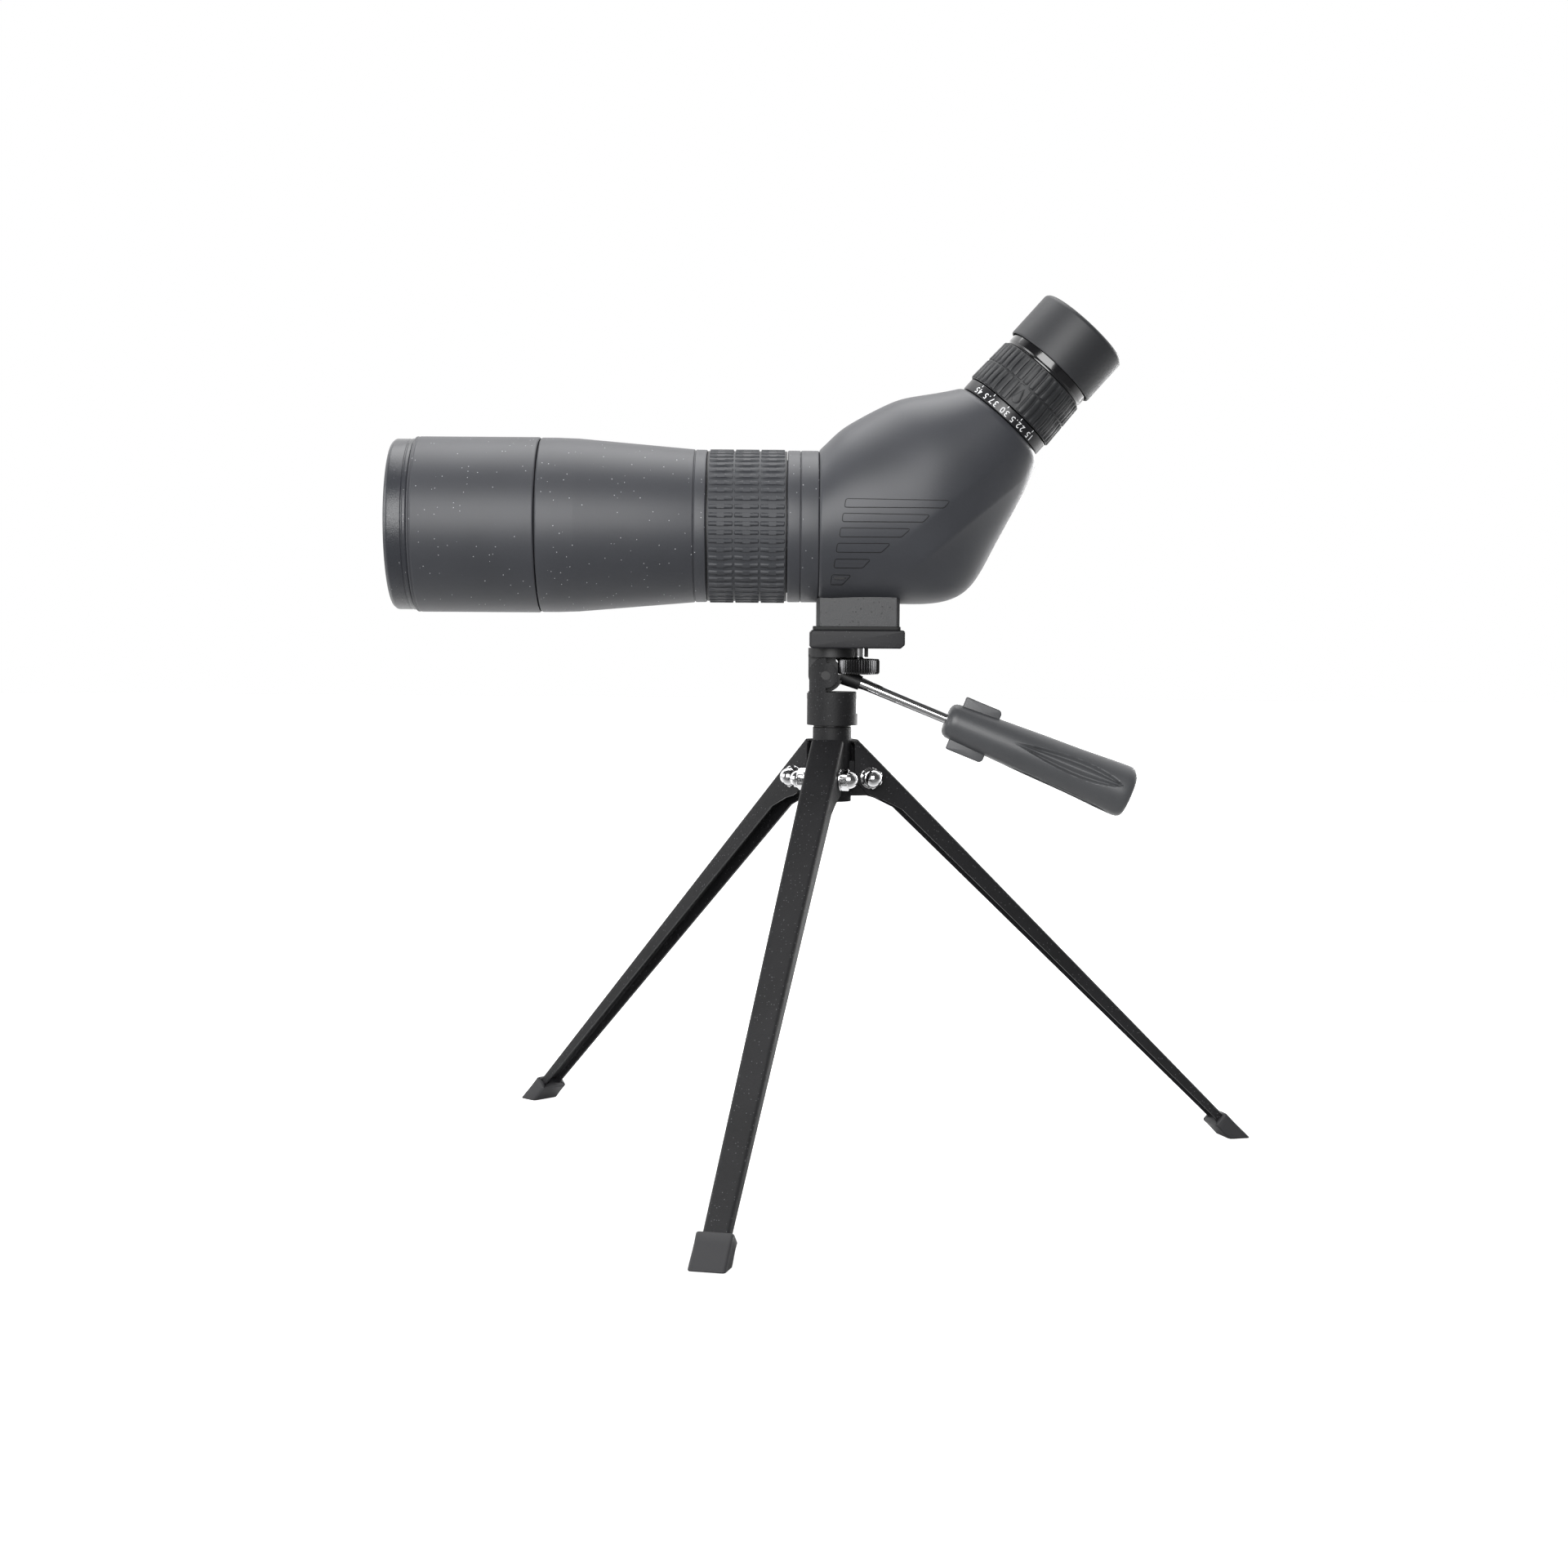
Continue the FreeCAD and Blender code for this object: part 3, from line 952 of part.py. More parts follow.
def write_steps(things):
    """Checks every object, prints the whole size, and writes one file per sub-part."""
    broken = [thing.Label for thing in doc.Objects
              if "Invalid" in thing.State or "Error" in thing.State]
    if broken:
        raise RuntimeError(f"failed objects: {broken}")
    whole = FreeCAD.BoundBox()
    os.makedirs("parts", exist_ok=True)
    for thing in things:
        shape = thing.Shape
        if shape.isNull() or not shape.isValid() or not shape.Solids:
            raise RuntimeError(f"bad shape: {thing.Label}")
        whole.add(shape.BoundBox)
        shape.exportStep(os.path.join("parts", thing.Label + ".step"))
        print(f"{thing.Label}: {len(shape.Solids)} solid(s), {shape.Volume:.0f} mm3")
    print(f"{len(things)} sub-parts, centre {whole.Center.x:.3f} {whole.Center.y:.3f}, "
          f"lowest {whole.ZMin:.3f}, size {whole.XLength:.1f} x {whole.YLength:.1f} x "
          f"{whole.ZLength:.1f}")


fill_sheet()
objective_end()
main_barrel()
focusing()
prism_housing()
prism_group()
mounting_foot()
eyepiece()
camera_plate()
tilt_head()
handle()
pan_base()
leg_hub()
pivot_fasteners()
legs()
doc.recompute()
write_steps(sub_parts())
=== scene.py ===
# %% [markdown]
# # A spotting scope on a folding table tripod
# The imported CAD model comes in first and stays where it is. It gives the sizes, the bodies that
# move and the axes they move about. Blender adds what the eye meets: coatings, ribs, knurls,
# rounded edges and the figures of the zoom scale. Lengths below are in millimetres, measured
# from the column's axis, because that is how a workshop drawing of the scope would give them.

# %% Load the frame
import json
import math

import bmesh
import bpy
import numpy as np
from mathutils import Matrix

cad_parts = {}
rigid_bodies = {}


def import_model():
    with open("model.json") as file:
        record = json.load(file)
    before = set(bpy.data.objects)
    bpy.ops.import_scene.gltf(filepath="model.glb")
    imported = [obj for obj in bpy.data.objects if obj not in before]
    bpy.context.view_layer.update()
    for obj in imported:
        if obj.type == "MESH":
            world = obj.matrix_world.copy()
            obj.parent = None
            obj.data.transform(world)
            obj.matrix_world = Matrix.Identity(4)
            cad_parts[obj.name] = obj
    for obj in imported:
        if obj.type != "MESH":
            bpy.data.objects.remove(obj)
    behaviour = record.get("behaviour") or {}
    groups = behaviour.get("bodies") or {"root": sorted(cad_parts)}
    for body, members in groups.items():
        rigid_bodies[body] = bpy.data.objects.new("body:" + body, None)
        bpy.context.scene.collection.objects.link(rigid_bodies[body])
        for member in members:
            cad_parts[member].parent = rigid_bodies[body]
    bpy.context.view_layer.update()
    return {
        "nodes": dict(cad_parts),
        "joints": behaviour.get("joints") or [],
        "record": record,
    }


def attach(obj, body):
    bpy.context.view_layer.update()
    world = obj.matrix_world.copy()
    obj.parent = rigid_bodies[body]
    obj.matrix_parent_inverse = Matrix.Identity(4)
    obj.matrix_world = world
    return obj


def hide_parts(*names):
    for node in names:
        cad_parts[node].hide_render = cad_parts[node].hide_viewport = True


for thing in list(bpy.data.objects):
    bpy.data.objects.remove(thing)
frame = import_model()
JOINTS = {joint["name"]: joint for joint in frame["joints"]}
NODES = frame["nodes"]

# %% [markdown]
# ## Axes to build along
# Nearly every part of a scope is turned on a lathe, so it is easiest to draw it along its own
# axis and set it in place at the end. Each seat below is a point and three directions: along
# the axis, sideways and up. They come from the joints of the CAD model, so that a ring turns
# about exactly the axis it was drawn on.

# %% Seats
MM = 0.001


def seat(point, rise=0.0, azimuth=0.0):
    """Origin and three unit vectors: X lifted by rise, then turned by azimuth about Z."""
    lift, turn = math.radians(rise), math.radians(azimuth)
    spin = np.array([[math.cos(turn), -math.sin(turn), 0.0],
                     [math.sin(turn), math.cos(turn), 0.0], [0.0, 0.0, 1.0]])
    along = spin @ np.array([math.cos(lift), 0.0, math.sin(lift)])
    side = spin @ np.array([0.0, 1.0, 0.0])
    up = spin @ np.array([-math.sin(lift), 0.0, math.cos(lift)])
    return np.array(point, dtype=float), np.stack([along, side, up])


def put(points, where):
    """Local millimetres to metres in the frame: origin plus each coordinate times its vector."""
    origin, vectors = where
    return origin + (points * MM) @ vectors


COLUMN = np.array(JOINTS["pan_turn"]["pos_m"]) * [1.0, 1.0, 0.0]
AXIS_Z = JOINTS["focus_turn"]["pos_m"][2]
EYE_RISE = math.degrees(math.asin(JOINTS["zoom_turn"]["axis"][2]))
HANDLE_DROP = math.degrees(math.asin(-JOINTS["handle_twist"]["axis"][2]))
HINGE_X, HINGE_Z, EYE_REACH = -6.3, 384.5, 102.4
EYE_ORIGIN = COLUMN + MM * np.array([
    HINGE_X + EYE_REACH * math.sin(math.radians(EYE_RISE)), 0.0,
    HINGE_Z - EYE_REACH * math.cos(math.radians(EYE_RISE))])

OPTICS = seat(COLUMN + [0.0, 0.0, AXIS_Z])
EYEPIECE = seat(EYE_ORIGIN, EYE_RISE)
KNOB_AXIS = seat(np.array(JOINTS["camera_screw_turn"]["pos_m"]) * [1.0, 1.0, 0.0], 90.0)
HANDLE = seat(JOINTS["handle_twist"]["pos_m"], -HANDLE_DROP)
PLAIN = seat(COLUMN)
print("eyepiece rises", round(EYE_RISE, 1), "degrees, handle drops", round(HANDLE_DROP, 1))

# %% [markdown]
# ## Grids into meshes
# A surface is worked out as a grid of points, rows by columns. Neighbours make the faces, and
# a grid may join up with itself round either way. Points that fall together, such as the pole
# of a dome, are merged, and the sign of the enclosed volume tells whether the faces look out.

# %% Faces of a grid


def grid_faces(rows, columns, wrap_rows, wrap_columns):
    """Quads between grid neighbours; a wrapped direction also joins its last line to the first."""
    i, j = np.meshgrid(np.arange(rows - (not wrap_rows)), np.arange(columns - (not wrap_columns)),
                       indexing="ij")
    below, right = (i + 1) % rows, (j + 1) % columns
    return np.stack([i * columns + j, i * columns + right, below * columns + right,
                     below * columns + j], axis=-1).reshape(-1, 4)


def volume_of(points, faces):
    """Six times the enclosed volume: the sum of a . (b x c) over each quad's two triangles."""
    a, b, c, d = (points[faces[:, k]] for k in range(4))
    return float(np.sum(a * np.cross(b, c)) + np.sum(a * np.cross(c, d)))


print("a ring of 4 by 3 points has", len(grid_faces(4, 3, True, True)), "faces")

# %% [markdown]
# ## One object for each piece
# A piece may need several grids, such as six bars on one flank. They share one mesh, so that the
# piece moves, is coated and is counted as one thing. An edge stays sharp where the faces meet at
# more than the crease angle, and everywhere else the shading runs smoothly over it. The piece
# also says which body it rides on and which CAD parts it stands for.

# %% Meshes and objects
WELD, SPECK_OF_FACE = 2e-6, 1e-7


def build(name, grids, body, slot, *nodes, crease=35.0, finish=None):
    """One object from several closed grids, each (points, wrap_rows, wrap_columns)."""
    all_points, all_faces, start = [], [], 0
    for points, wrap_rows, wrap_columns in grids:
        faces = grid_faces(points.shape[0], points.shape[1], wrap_rows, wrap_columns)
        flat = points.reshape(-1, 3)
        if volume_of(flat - flat.mean(axis=0), faces) < 0:
            faces = faces[:, ::-1]
        all_points.append(flat)
        all_faces.append(faces + start)
        start += len(flat)
    points, faces = np.concatenate(all_points), np.concatenate(all_faces)
    mesh = bpy.data.meshes.new(name)
    mesh.vertices.add(len(points))
    mesh.vertices.foreach_set("co", points.ravel())
    mesh.loops.add(faces.size)
    mesh.loops.foreach_set("vertex_index", faces.ravel())
    mesh.polygons.add(len(faces))
    mesh.polygons.foreach_set("loop_start", np.arange(0, faces.size, 4))
    mesh.update(calc_edges=True)
    work = bmesh.new()
    work.from_mesh(mesh)
    bmesh.ops.remove_doubles(work, verts=work.verts, dist=WELD)
    bmesh.ops.dissolve_degenerate(work, edges=work.edges, dist=SPECK_OF_FACE)
    work.to_mesh(mesh)
    work.free()
    mesh.polygons.foreach_set("use_smooth", np.ones(len(mesh.polygons), dtype=bool))
    mesh.set_sharp_from_angle(angle=math.radians(crease))
    return finish_piece(name, mesh, body, slot, *nodes, finish=finish)


def finish_piece(name, mesh, body, slot, *nodes, finish=None):
    """Gives a mesh its object, its coat, the body it rides on and the nodes it stands for."""
    piece = bpy.data.objects.new(name, mesh)
    bpy.context.scene.collection.objects.link(piece)
    mesh.materials.append(COATS[finish or slot])
    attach(piece, body)
    if nodes:
        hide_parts(*nodes)
    print(f"{name}: {len(mesh.vertices)} points, {len(mesh.polygons)} faces")
    return piece


print("points closer than", WELD / MM, "mm become one")

# %% [markdown]
# ## Outlines with soft corners
# No made thing has a perfectly sharp corner. So an outline is given by its corners alone, and a
# small curve is worked in at each one. An outline of half a section, carried round an axis, is
# what a lathe does. A height may be added to its radius on the way round, which makes ribs,
# knurls and flutes.

# %% Outlines and turning


def soften(corners, radius, steps=4, closed=True):
    """Rounds an outline: each corner gives way to a curve from cut back to cut on, where the
    cut is the radius or just under half the shorter side: B(t) = (1-t)^2 a + 2t(1-t) c + t^2 b."""
    corners = np.array(corners, dtype=float)
    t = np.linspace(0.0, 1.0, steps + 1)[:, None]
    rounded = []
    for number, corner in enumerate(corners):
        if not closed and number in (0, len(corners) - 1):
            rounded.append(corner[None, :])
            continue
        back = corners[number - 1] - corner
        onward = corners[(number + 1) % len(corners)] - corner
        shorter = min(np.linalg.norm(back), np.linalg.norm(onward))
        cut = min(radius, 0.45 * shorter)
        a = corner + back / np.linalg.norm(back) * cut
        b = corner + onward / np.linalg.norm(onward) * cut
        rounded.append((1 - t) ** 2 * a + 2 * t * (1 - t) * corner + t ** 2 * b)
    return np.concatenate(rounded)


def round_angles(count):
    """Equal steps round the circle."""
    return np.arange(count) * (2 * math.pi / count)


def about_axis(along, radius, angles):
    """Points round the axis: y = -r cos(a), up = -r sin(a), so angle 0 faces the scale."""
    along, radius, angles = np.broadcast_arrays(along, radius, angles)
    return np.stack([along, -radius * np.cos(angles), -radius * np.sin(angles)], axis=-1)


def lathe(profile, angles, relief=None):
    """Profile (along, radius) carried round the axis. relief(along, angle, radius) is added."""
    along, radius = profile[:, :1], profile[:, 1:2]
    if relief is not None:
        radius = radius + relief(along, angles[None, :], radius)
    return about_axis(along, radius, angles)


def smooth_step(value, low, high):
    """0 below low, 1 above high, and 3t^2 - 2t^3 in between."""
    t = np.clip((value - low) / (high - low), 0.0, 1.0)
    return t * t * (3.0 - 2.0 * t)


print("a softened square has", len(soften([(0, 0), (9, 0), (9, 9), (0, 9)], 1.0)), "points")

# %% [markdown]
# ## Coats and finishes
# All the finishes are built from a few ingredients. A slow noise varies the colour a little. A
# fine noise gives the grain, as bump and as roughness. Scattered cells of a Voronoi pattern
# give specks or pits. Object coordinates hold the pattern to the metal, in metres, so a scale
# of 1000 makes cells of about one millimetre.

# %% Shader nodes


def node(tree, kind, **inputs):
    """Adds a shader node and sets its unlinked inputs by name, with _ for each space."""
    made = tree.nodes.new("ShaderNode" + kind)
    for name, value in inputs.items():
        made.inputs[name.replace("_", " ")].default_value = value
    return made


def math_node(tree, operation, first, second):
    """Arithmetic on two sockets or numbers."""
    made = tree.nodes.new("ShaderNodeMath")
    made.operation = operation
    for number, value in enumerate((first, second)):
        if isinstance(value, (int, float)):
            made.inputs[number].default_value = value
        else:
            tree.links.new(value, made.inputs[number])
    return made.outputs[0]


def mix_colour(tree, factor, first, second):
    """Blend of two colours or colour sockets by a factor socket."""
    made = tree.nodes.new("ShaderNodeMix")
    made.data_type = "RGBA"
    tree.links.new(factor, made.inputs["Factor"])
    for name, value in (("A", first), ("B", second)):
        target = [s for s in made.inputs if s.name == name and s.type == "RGBA"][0]
        if isinstance(value, tuple):
            target.default_value = (*value, 1.0)
        else:
            tree.links.new(value, target)
    return [s for s in made.outputs if s.type == "RGBA"][0]


def scattered(tree, place, scale, size, share):
    """1 inside a small round spot of a few random cells: distance below size, chance below share."""
    cells = node(tree, "TexVoronoi", Scale=scale)
    tree.links.new(place, cells.inputs["Vector"])
    near = math_node(tree, "LESS_THAN", cells.outputs["Distance"], size)
    split = tree.nodes.new("ShaderNodeSeparateColor")
    tree.links.new(cells.outputs["Color"], split.inputs[0])
    chosen = math_node(tree, "LESS_THAN", split.outputs[0], share)
    return math_node(tree, "MULTIPLY", near, chosen)


print("cells of a pattern at scale 900 are", round(1000 / 900, 2), "mm wide")

# %% [markdown]
# ## What a coat is made of
# One function makes every painted, moulded and metal finish, so that all of them vary in the
# same honest way. The slow noise times the fine one blends a darker and a lighter shade of the
# colour. Specks stand up a little from the surface, and pits sink into it four times as far.

# %% A coat
COATS = {}
SLOW_SCALE, SHADE_CONTRAST = 45.0, 2.4
SPECK_HEIGHT, PIT_HEIGHT = 0.5, -2.0


def coat(slot, colour, rough, *, metal=0.0, vary=0.12, grain=2600.0, depth=0.03, spread=0.08,
         specks=None, pits=None, specular=0.5, gloss=0.0, gloss_rough=0.1):
    """A finish for one slot. specks is (scale, size, share, colour), and pits is the same."""
    made = bpy.data.materials.new(slot + "_finish")
    made.use_nodes = True
    tree = made.node_tree
    shader = tree.nodes["Principled BSDF"]
    place = node(tree, "TexCoord").outputs["Object"]
    slow = node(tree, "TexNoise", Scale=SLOW_SCALE, Detail=3.0)
    fine = node(tree, "TexNoise", Scale=grain, Detail=4.0, Roughness=0.65)
    tree.links.new(place, slow.inputs["Vector"])
    tree.links.new(place, fine.inputs["Vector"])
    both = math_node(tree, "MULTIPLY", slow.outputs["Fac"], fine.outputs["Fac"])
    factor = math_node(tree, "MULTIPLY", both, SHADE_CONTRAST)
    dark = tuple(c * (1.0 - vary) for c in colour)
    light = tuple(c * (1.0 + vary) for c in colour)
    base = mix_colour(tree, factor, dark, light)
    height = fine.outputs["Fac"]
    # Spots take their own colour: pale specks on some coats are painted glints, and the dark colour
    # of pits is painted shade in them.
    for spots, rise in ((specks, SPECK_HEIGHT), (pits, PIT_HEIGHT)):
        if spots is None:
            continue
        scale, size, share, spot_colour = spots
        spot = scattered(tree, place, scale, size, share)
        base = mix_colour(tree, spot, base, spot_colour)
        height = math_node(tree, "ADD", height, math_node(tree, "MULTIPLY", spot, rise))
    tree.links.new(base, shader.inputs["Base Color"])
    roughness = node(tree, "MapRange")
    roughness.inputs["To Min"].default_value = max(rough - spread, 0.02)
    roughness.inputs["To Max"].default_value = rough + spread
    tree.links.new(fine.outputs["Fac"], roughness.inputs["Value"])
    tree.links.new(roughness.outputs[0], shader.inputs["Roughness"])
    bump = node(tree, "Bump", Strength=min(1.0, 10.0 * depth), Distance=depth * MM)
    tree.links.new(height, bump.inputs["Height"])
    tree.links.new(bump.outputs[0], shader.inputs["Normal"])
    shader.inputs["Metallic"].default_value = metal
    shader.inputs["Specular IOR Level"].default_value = specular
    shader.inputs["Coat Weight"].default_value = gloss
    shader.inputs["Coat Roughness"].default_value = gloss_rough
    COATS[slot] = made


print("specks rise", SPECK_HEIGHT, "and pits sink", -PIT_HEIGHT, "times the grain's height")

# %% [markdown]
# ## The scope's own finishes
# The body has a satin slate-grey coat with pale specks in it, partly dust and partly painted
# glints of a fine glitter. The foot has the coarser black coat of a cast part, full of small pits
# whose darker colour is painted shade. Rubber is rougher and more even, and the neck below the
# eyecup is glossy.

# %% Coats of the scope
# Pale specks of the body coat: partly dust, partly painted glints of its glitter.
coat("scope_coating", (0.044, 0.046, 0.053), 0.46, grain=1900.0, depth=0.035,
     specks=(760.0, 0.13, 0.11, (0.60, 0.61, 0.64)))
coat("housing_coating", (0.044, 0.046, 0.053), 0.44, grain=2300.0, depth=0.02)
# Painted shade: the near-black plates round the housing bars stand for the shade in a fine groove.
coat("groove_shade_black", (0.006, 0.006, 0.007), 0.6)
# The foot's pits sink into the coat, and their near-black colour is painted shade in them.
coat("foot_coating", (0.022, 0.023, 0.025), 0.42, grain=1500.0, depth=0.08,
     pits=(900.0, 0.3, 0.16, (0.002, 0.002, 0.002)))
coat("grip_rubber", (0.044, 0.046, 0.052), 0.58, grain=3000.0, depth=0.03)
coat("eyecup_rubber", (0.026, 0.027, 0.030), 0.5, grain=2600.0, depth=0.03)
coat("seal_rubber", (0.012, 0.012, 0.012), 0.6)
coat("scale_black", (0.010, 0.010, 0.012), 0.34, grain=2200.0, depth=0.01)
coat("neck_black", (0.006, 0.006, 0.007), 0.16, depth=0.004, gloss=0.6, gloss_rough=0.08)
coat("tube_metal", (0.012, 0.012, 0.013), 0.5, metal=0.4, depth=0.02)
coat("sleeve_plastic", (0.014, 0.014, 0.014), 0.45)
coat("zoom_rubber", (0.018, 0.019, 0.021), 0.5, grain=3000.0, depth=0.03)
# Pale specks of the front ring: painted glints of its glossier grain.
coat("front_coating", (0.032, 0.034, 0.040), 0.30, grain=1500.0, depth=0.09,
     specks=(900.0, 0.14, 0.08, (0.4, 0.4, 0.42)))
print("finishes of the scope:", ", ".join(COATS))

# %% [markdown]
# ## The tripod's finishes
# The tripod is powder coated: black, with a grain that can be felt. It has hardly any gloss, so
# its specular level is low, and its pale specks are painted glints on the grain. The nuts and the
# screw are bright metal, which shows mostly what stands around it, and so needs almost no
# pattern of its own.

# %% Coats of the tripod
# Pale specks of the powder coat: painted glints on its grain.
coat("head_black", (0.008, 0.008, 0.009), 0.55, grain=1500.0, depth=0.10, vary=0.5,
     specular=0.3, specks=(1100.0, 0.22, 0.22, (0.085, 0.086, 0.092)))
coat("smooth_black", (0.004, 0.004, 0.005), 0.50, grain=2600.0, depth=0.015)
coat("plate_grey", (0.012, 0.012, 0.014), 0.52, specular=0.35, grain=1700.0, depth=0.06, vary=0.3,
     specks=(1400.0, 0.18, 0.12, (0.09, 0.09, 0.095)))
coat("knob_black", (0.070, 0.070, 0.072), 0.22, metal=0.9, depth=0.01)
coat("bright_chrome", (0.82, 0.82, 0.83), 0.07, metal=1.0, vary=0.03, depth=0.004, spread=0.03)
coat("fastener_steel", (0.55, 0.55, 0.56), 0.3, metal=1.0, vary=0.05, depth=0.01)
coat("spring_steel", (0.5, 0.5, 0.5), 0.35, metal=1.0, vary=0.05, depth=0.01)
coat("brass", (0.62, 0.44, 0.18), 0.3, metal=1.0, vary=0.08, depth=0.01)
coat("pad_rubber", (0.010, 0.010, 0.010), 0.7, grain=2600.0, depth=0.05)
coat("foot_rubber", (0.018, 0.018, 0.020), 0.55, grain=2600.0, depth=0.04)
coat("handle_plastic", (0.066, 0.068, 0.072), 0.38, grain=2200.0, depth=0.03)
coat("white_ink", (0.80, 0.81, 0.82), 0.5, vary=0.03, depth=0.004)
print(len(COATS), "finishes so far")

# %% [markdown]
# ## Coated glass
# A lens is nearly black from the front: the light goes in and stays in. What shows is the thin
# blue-green coating, stronger at a slant, so the colour is mixed by the viewing slant of a
# Fresnel node and the glass lets through what is left.

# %% Glass
def optical_glass():
    """Clear glass with a faint coloured coating."""
    made = bpy.data.materials.new("optical_glass_finish")
    made.use_nodes = True
    tree = made.node_tree
    shader = tree.nodes["Principled BSDF"]
    slant = node(tree, "Fresnel", IOR=1.3)
    tint = mix_colour(tree, slant.outputs[0], (0.55, 0.72, 0.70), (0.30, 0.18, 0.48))
    tree.links.new(tint, shader.inputs["Base Color"])
    shader.inputs["Roughness"].default_value = 0.02
    shader.inputs["IOR"].default_value = 1.52
    shader.inputs["Transmission Weight"].default_value = 0.85
    COATS["optical_glass"] = made


optical_glass()
print("glass has index", round(COATS["optical_glass"].node_tree.nodes["Principled BSDF"]
                               .inputs["IOR"].default_value, 2))

# %% [markdown]
# ## Paint on the CAD parts
# A CAD part whose shape is already right keeps its mesh and only gets its coat. The record says
# which slot each node belongs to. A few smooth parts of the tripod head differ from the rough
# ones beside them, so they are named apart.

# %% Coat every CAD node
SLOT_OF = {row["node"]: row["material_slot"] for row in frame["record"]["subparts"]}
SPECIAL = {"tilt_head": "smooth_black", "camera_plate": "plate_grey",
           "tilt_pin": "smooth_black"}
for name, thing in NODES.items():
    for place in thing.material_slots:
        place.material = COATS[SPECIAL.get(name, SLOT_OF[name])]
print("coated", len(NODES), "nodes with", len(COATS), "finishes")

# %% [markdown]
# ## The camera
# The scope is seen square from its side, from about a metre away and a little above the middle.
# The camera is set first, so that every piece can be judged from where it will be seen. It is
# tipped down by about four degrees and rolled by less than one. The two turns are multiplied
# as matrices, because their order matters.

# %% Camera
LENS_MM, SENSOR_MM = 57.9, 36.0
CAMERA_PITCH, CAMERA_ROLL = 0.067055, 0.0065
camera_data = bpy.data.cameras.new("studio_camera")
camera_data.lens, camera_data.sensor_width = LENS_MM, SENSOR_MM
camera = bpy.data.objects.new("studio_camera", camera_data)
camera.location = (-0.0229, -1.04982, 0.23403)
camera.rotation_mode = "QUATERNION"
tip = math.pi / 2 - CAMERA_PITCH
turned_camera = Matrix.Rotation(tip, 3, "X") @ Matrix.Rotation(CAMERA_ROLL, 3, "Z")
camera.rotation_quaternion = turned_camera.to_quaternion()
bpy.context.scene.collection.objects.link(camera)
bpy.context.scene.camera = camera
print("camera at", tuple(round(v, 4) for v in camera.location))

# %% [markdown]
# ## Four softboxes
# A smooth, dark barrel is shown by what it reflects. One large softbox in front draws the broad
# band of light along it. The one above lights the top edge, and the two beside the scope pick
# out the sunshade, the feet and the handle.

# %% Lamps
LAMPS = (("front_softbox", (-0.25, -1.40, 0.62), (0.0, 0.0, 0.26), 1.05, 26.0),
         ("top_softbox", (-0.1, 0.25, 1.30), (0.0, 0.0, 0.2), 0.9, 9.0),
         ("left_softbox", (-1.2, -0.25, 0.5), (0.0, 0.0, 0.25), 0.7, 7.0),
         ("right_softbox", (0.80, 1.05, 0.38), (0.05, 0.0, 0.28), 0.5, 10.0))


def area_lamp(name, place, aim, size, power):
    """Square lamp of a size in metres, turned to face a point."""
    lamp = bpy.data.lights.new(name, "AREA")
    lamp.size, lamp.energy = size, power
    holder = bpy.data.objects.new(name, lamp)
    holder.location = place
    holder.rotation_euler = (holder.location - type(holder.location)(aim)).to_track_quat(
        "Z", "Y").to_euler()
    bpy.context.scene.collection.objects.link(holder)


for lamp in LAMPS:
    area_lamp(*lamp)
print(len(LAMPS), "softboxes of", sum(lamp[-1] for lamp in LAMPS), "watts together")

# %% [markdown]
# ## A white tent and a paper floor
# The tent is a white world with a dark front. What lies behind the scope is bright, which gives
# every edge a pale rim. The floor is paper, darker towards the front for the same reason. Rays
# that go straight from the camera to either see plain white, whichever way the camera looks.

# %% Tent and floor
FLOOR, PAPER_GLOW = 6.0, 0.95


def by_depth(tree, coordinates, near, far, low, high):
    """Goes from low to high while Y, of a direction or a place, goes from near to far."""
    split = tree.nodes.new("ShaderNodeSeparateXYZ")
    tree.links.new(node(tree, "TexCoord").outputs[coordinates], split.inputs[0])
    ramp = node(tree, "MapRange", From_Min=near, From_Max=far, To_Min=low, To_Max=high)
    tree.links.new(split.outputs["Y"], ramp.inputs["Value"])
    return ramp.outputs[0]


world = bpy.data.worlds.new("white_tent")
world.use_nodes = True
sky = world.node_tree
tent = by_depth(sky, "Generated", -0.15, 0.35, 0.08, 1.3)
seen = sky.nodes.new("ShaderNodeLightPath").outputs["Is Camera Ray"]
unseen = math_node(sky, "SUBTRACT", 1.0, seen)
strength = math_node(sky, "ADD", math_node(sky, "MULTIPLY", tent, unseen), seen)
sky.links.new(strength, sky.nodes["Background"].inputs["Strength"])
sky.nodes["Background"].inputs["Color"].default_value = (1.0, 1.0, 1.0, 1.0)
bpy.context.scene.world = world
bpy.context.scene.view_settings.view_transform = "Standard"

paper = bpy.data.materials.new("studio_paper")
paper.use_nodes = True
sheet = paper.node_tree
sheet_shader = sheet.nodes["Principled BSDF"]
far_side = by_depth(sheet, "Object", -0.15, 0.25, 0.0, 1.0)
shade = mix_colour(sheet, far_side, (0.12, 0.12, 0.12), (0.9, 0.9, 0.9))
sheet.links.new(shade, sheet_shader.inputs["Base Color"])
sheet_shader.inputs["Specular IOR Level"].default_value = 0.0
sheet_shader.inputs["Emission Color"].default_value = (1.0, 1.0, 1.0, 1.0)
glow = sheet.nodes.new("ShaderNodeLightPath").outputs["Is Camera Ray"]
sheet.links.new(math_node(sheet, "MULTIPLY", glow, PAPER_GLOW),
                sheet_shader.inputs["Emission Strength"])

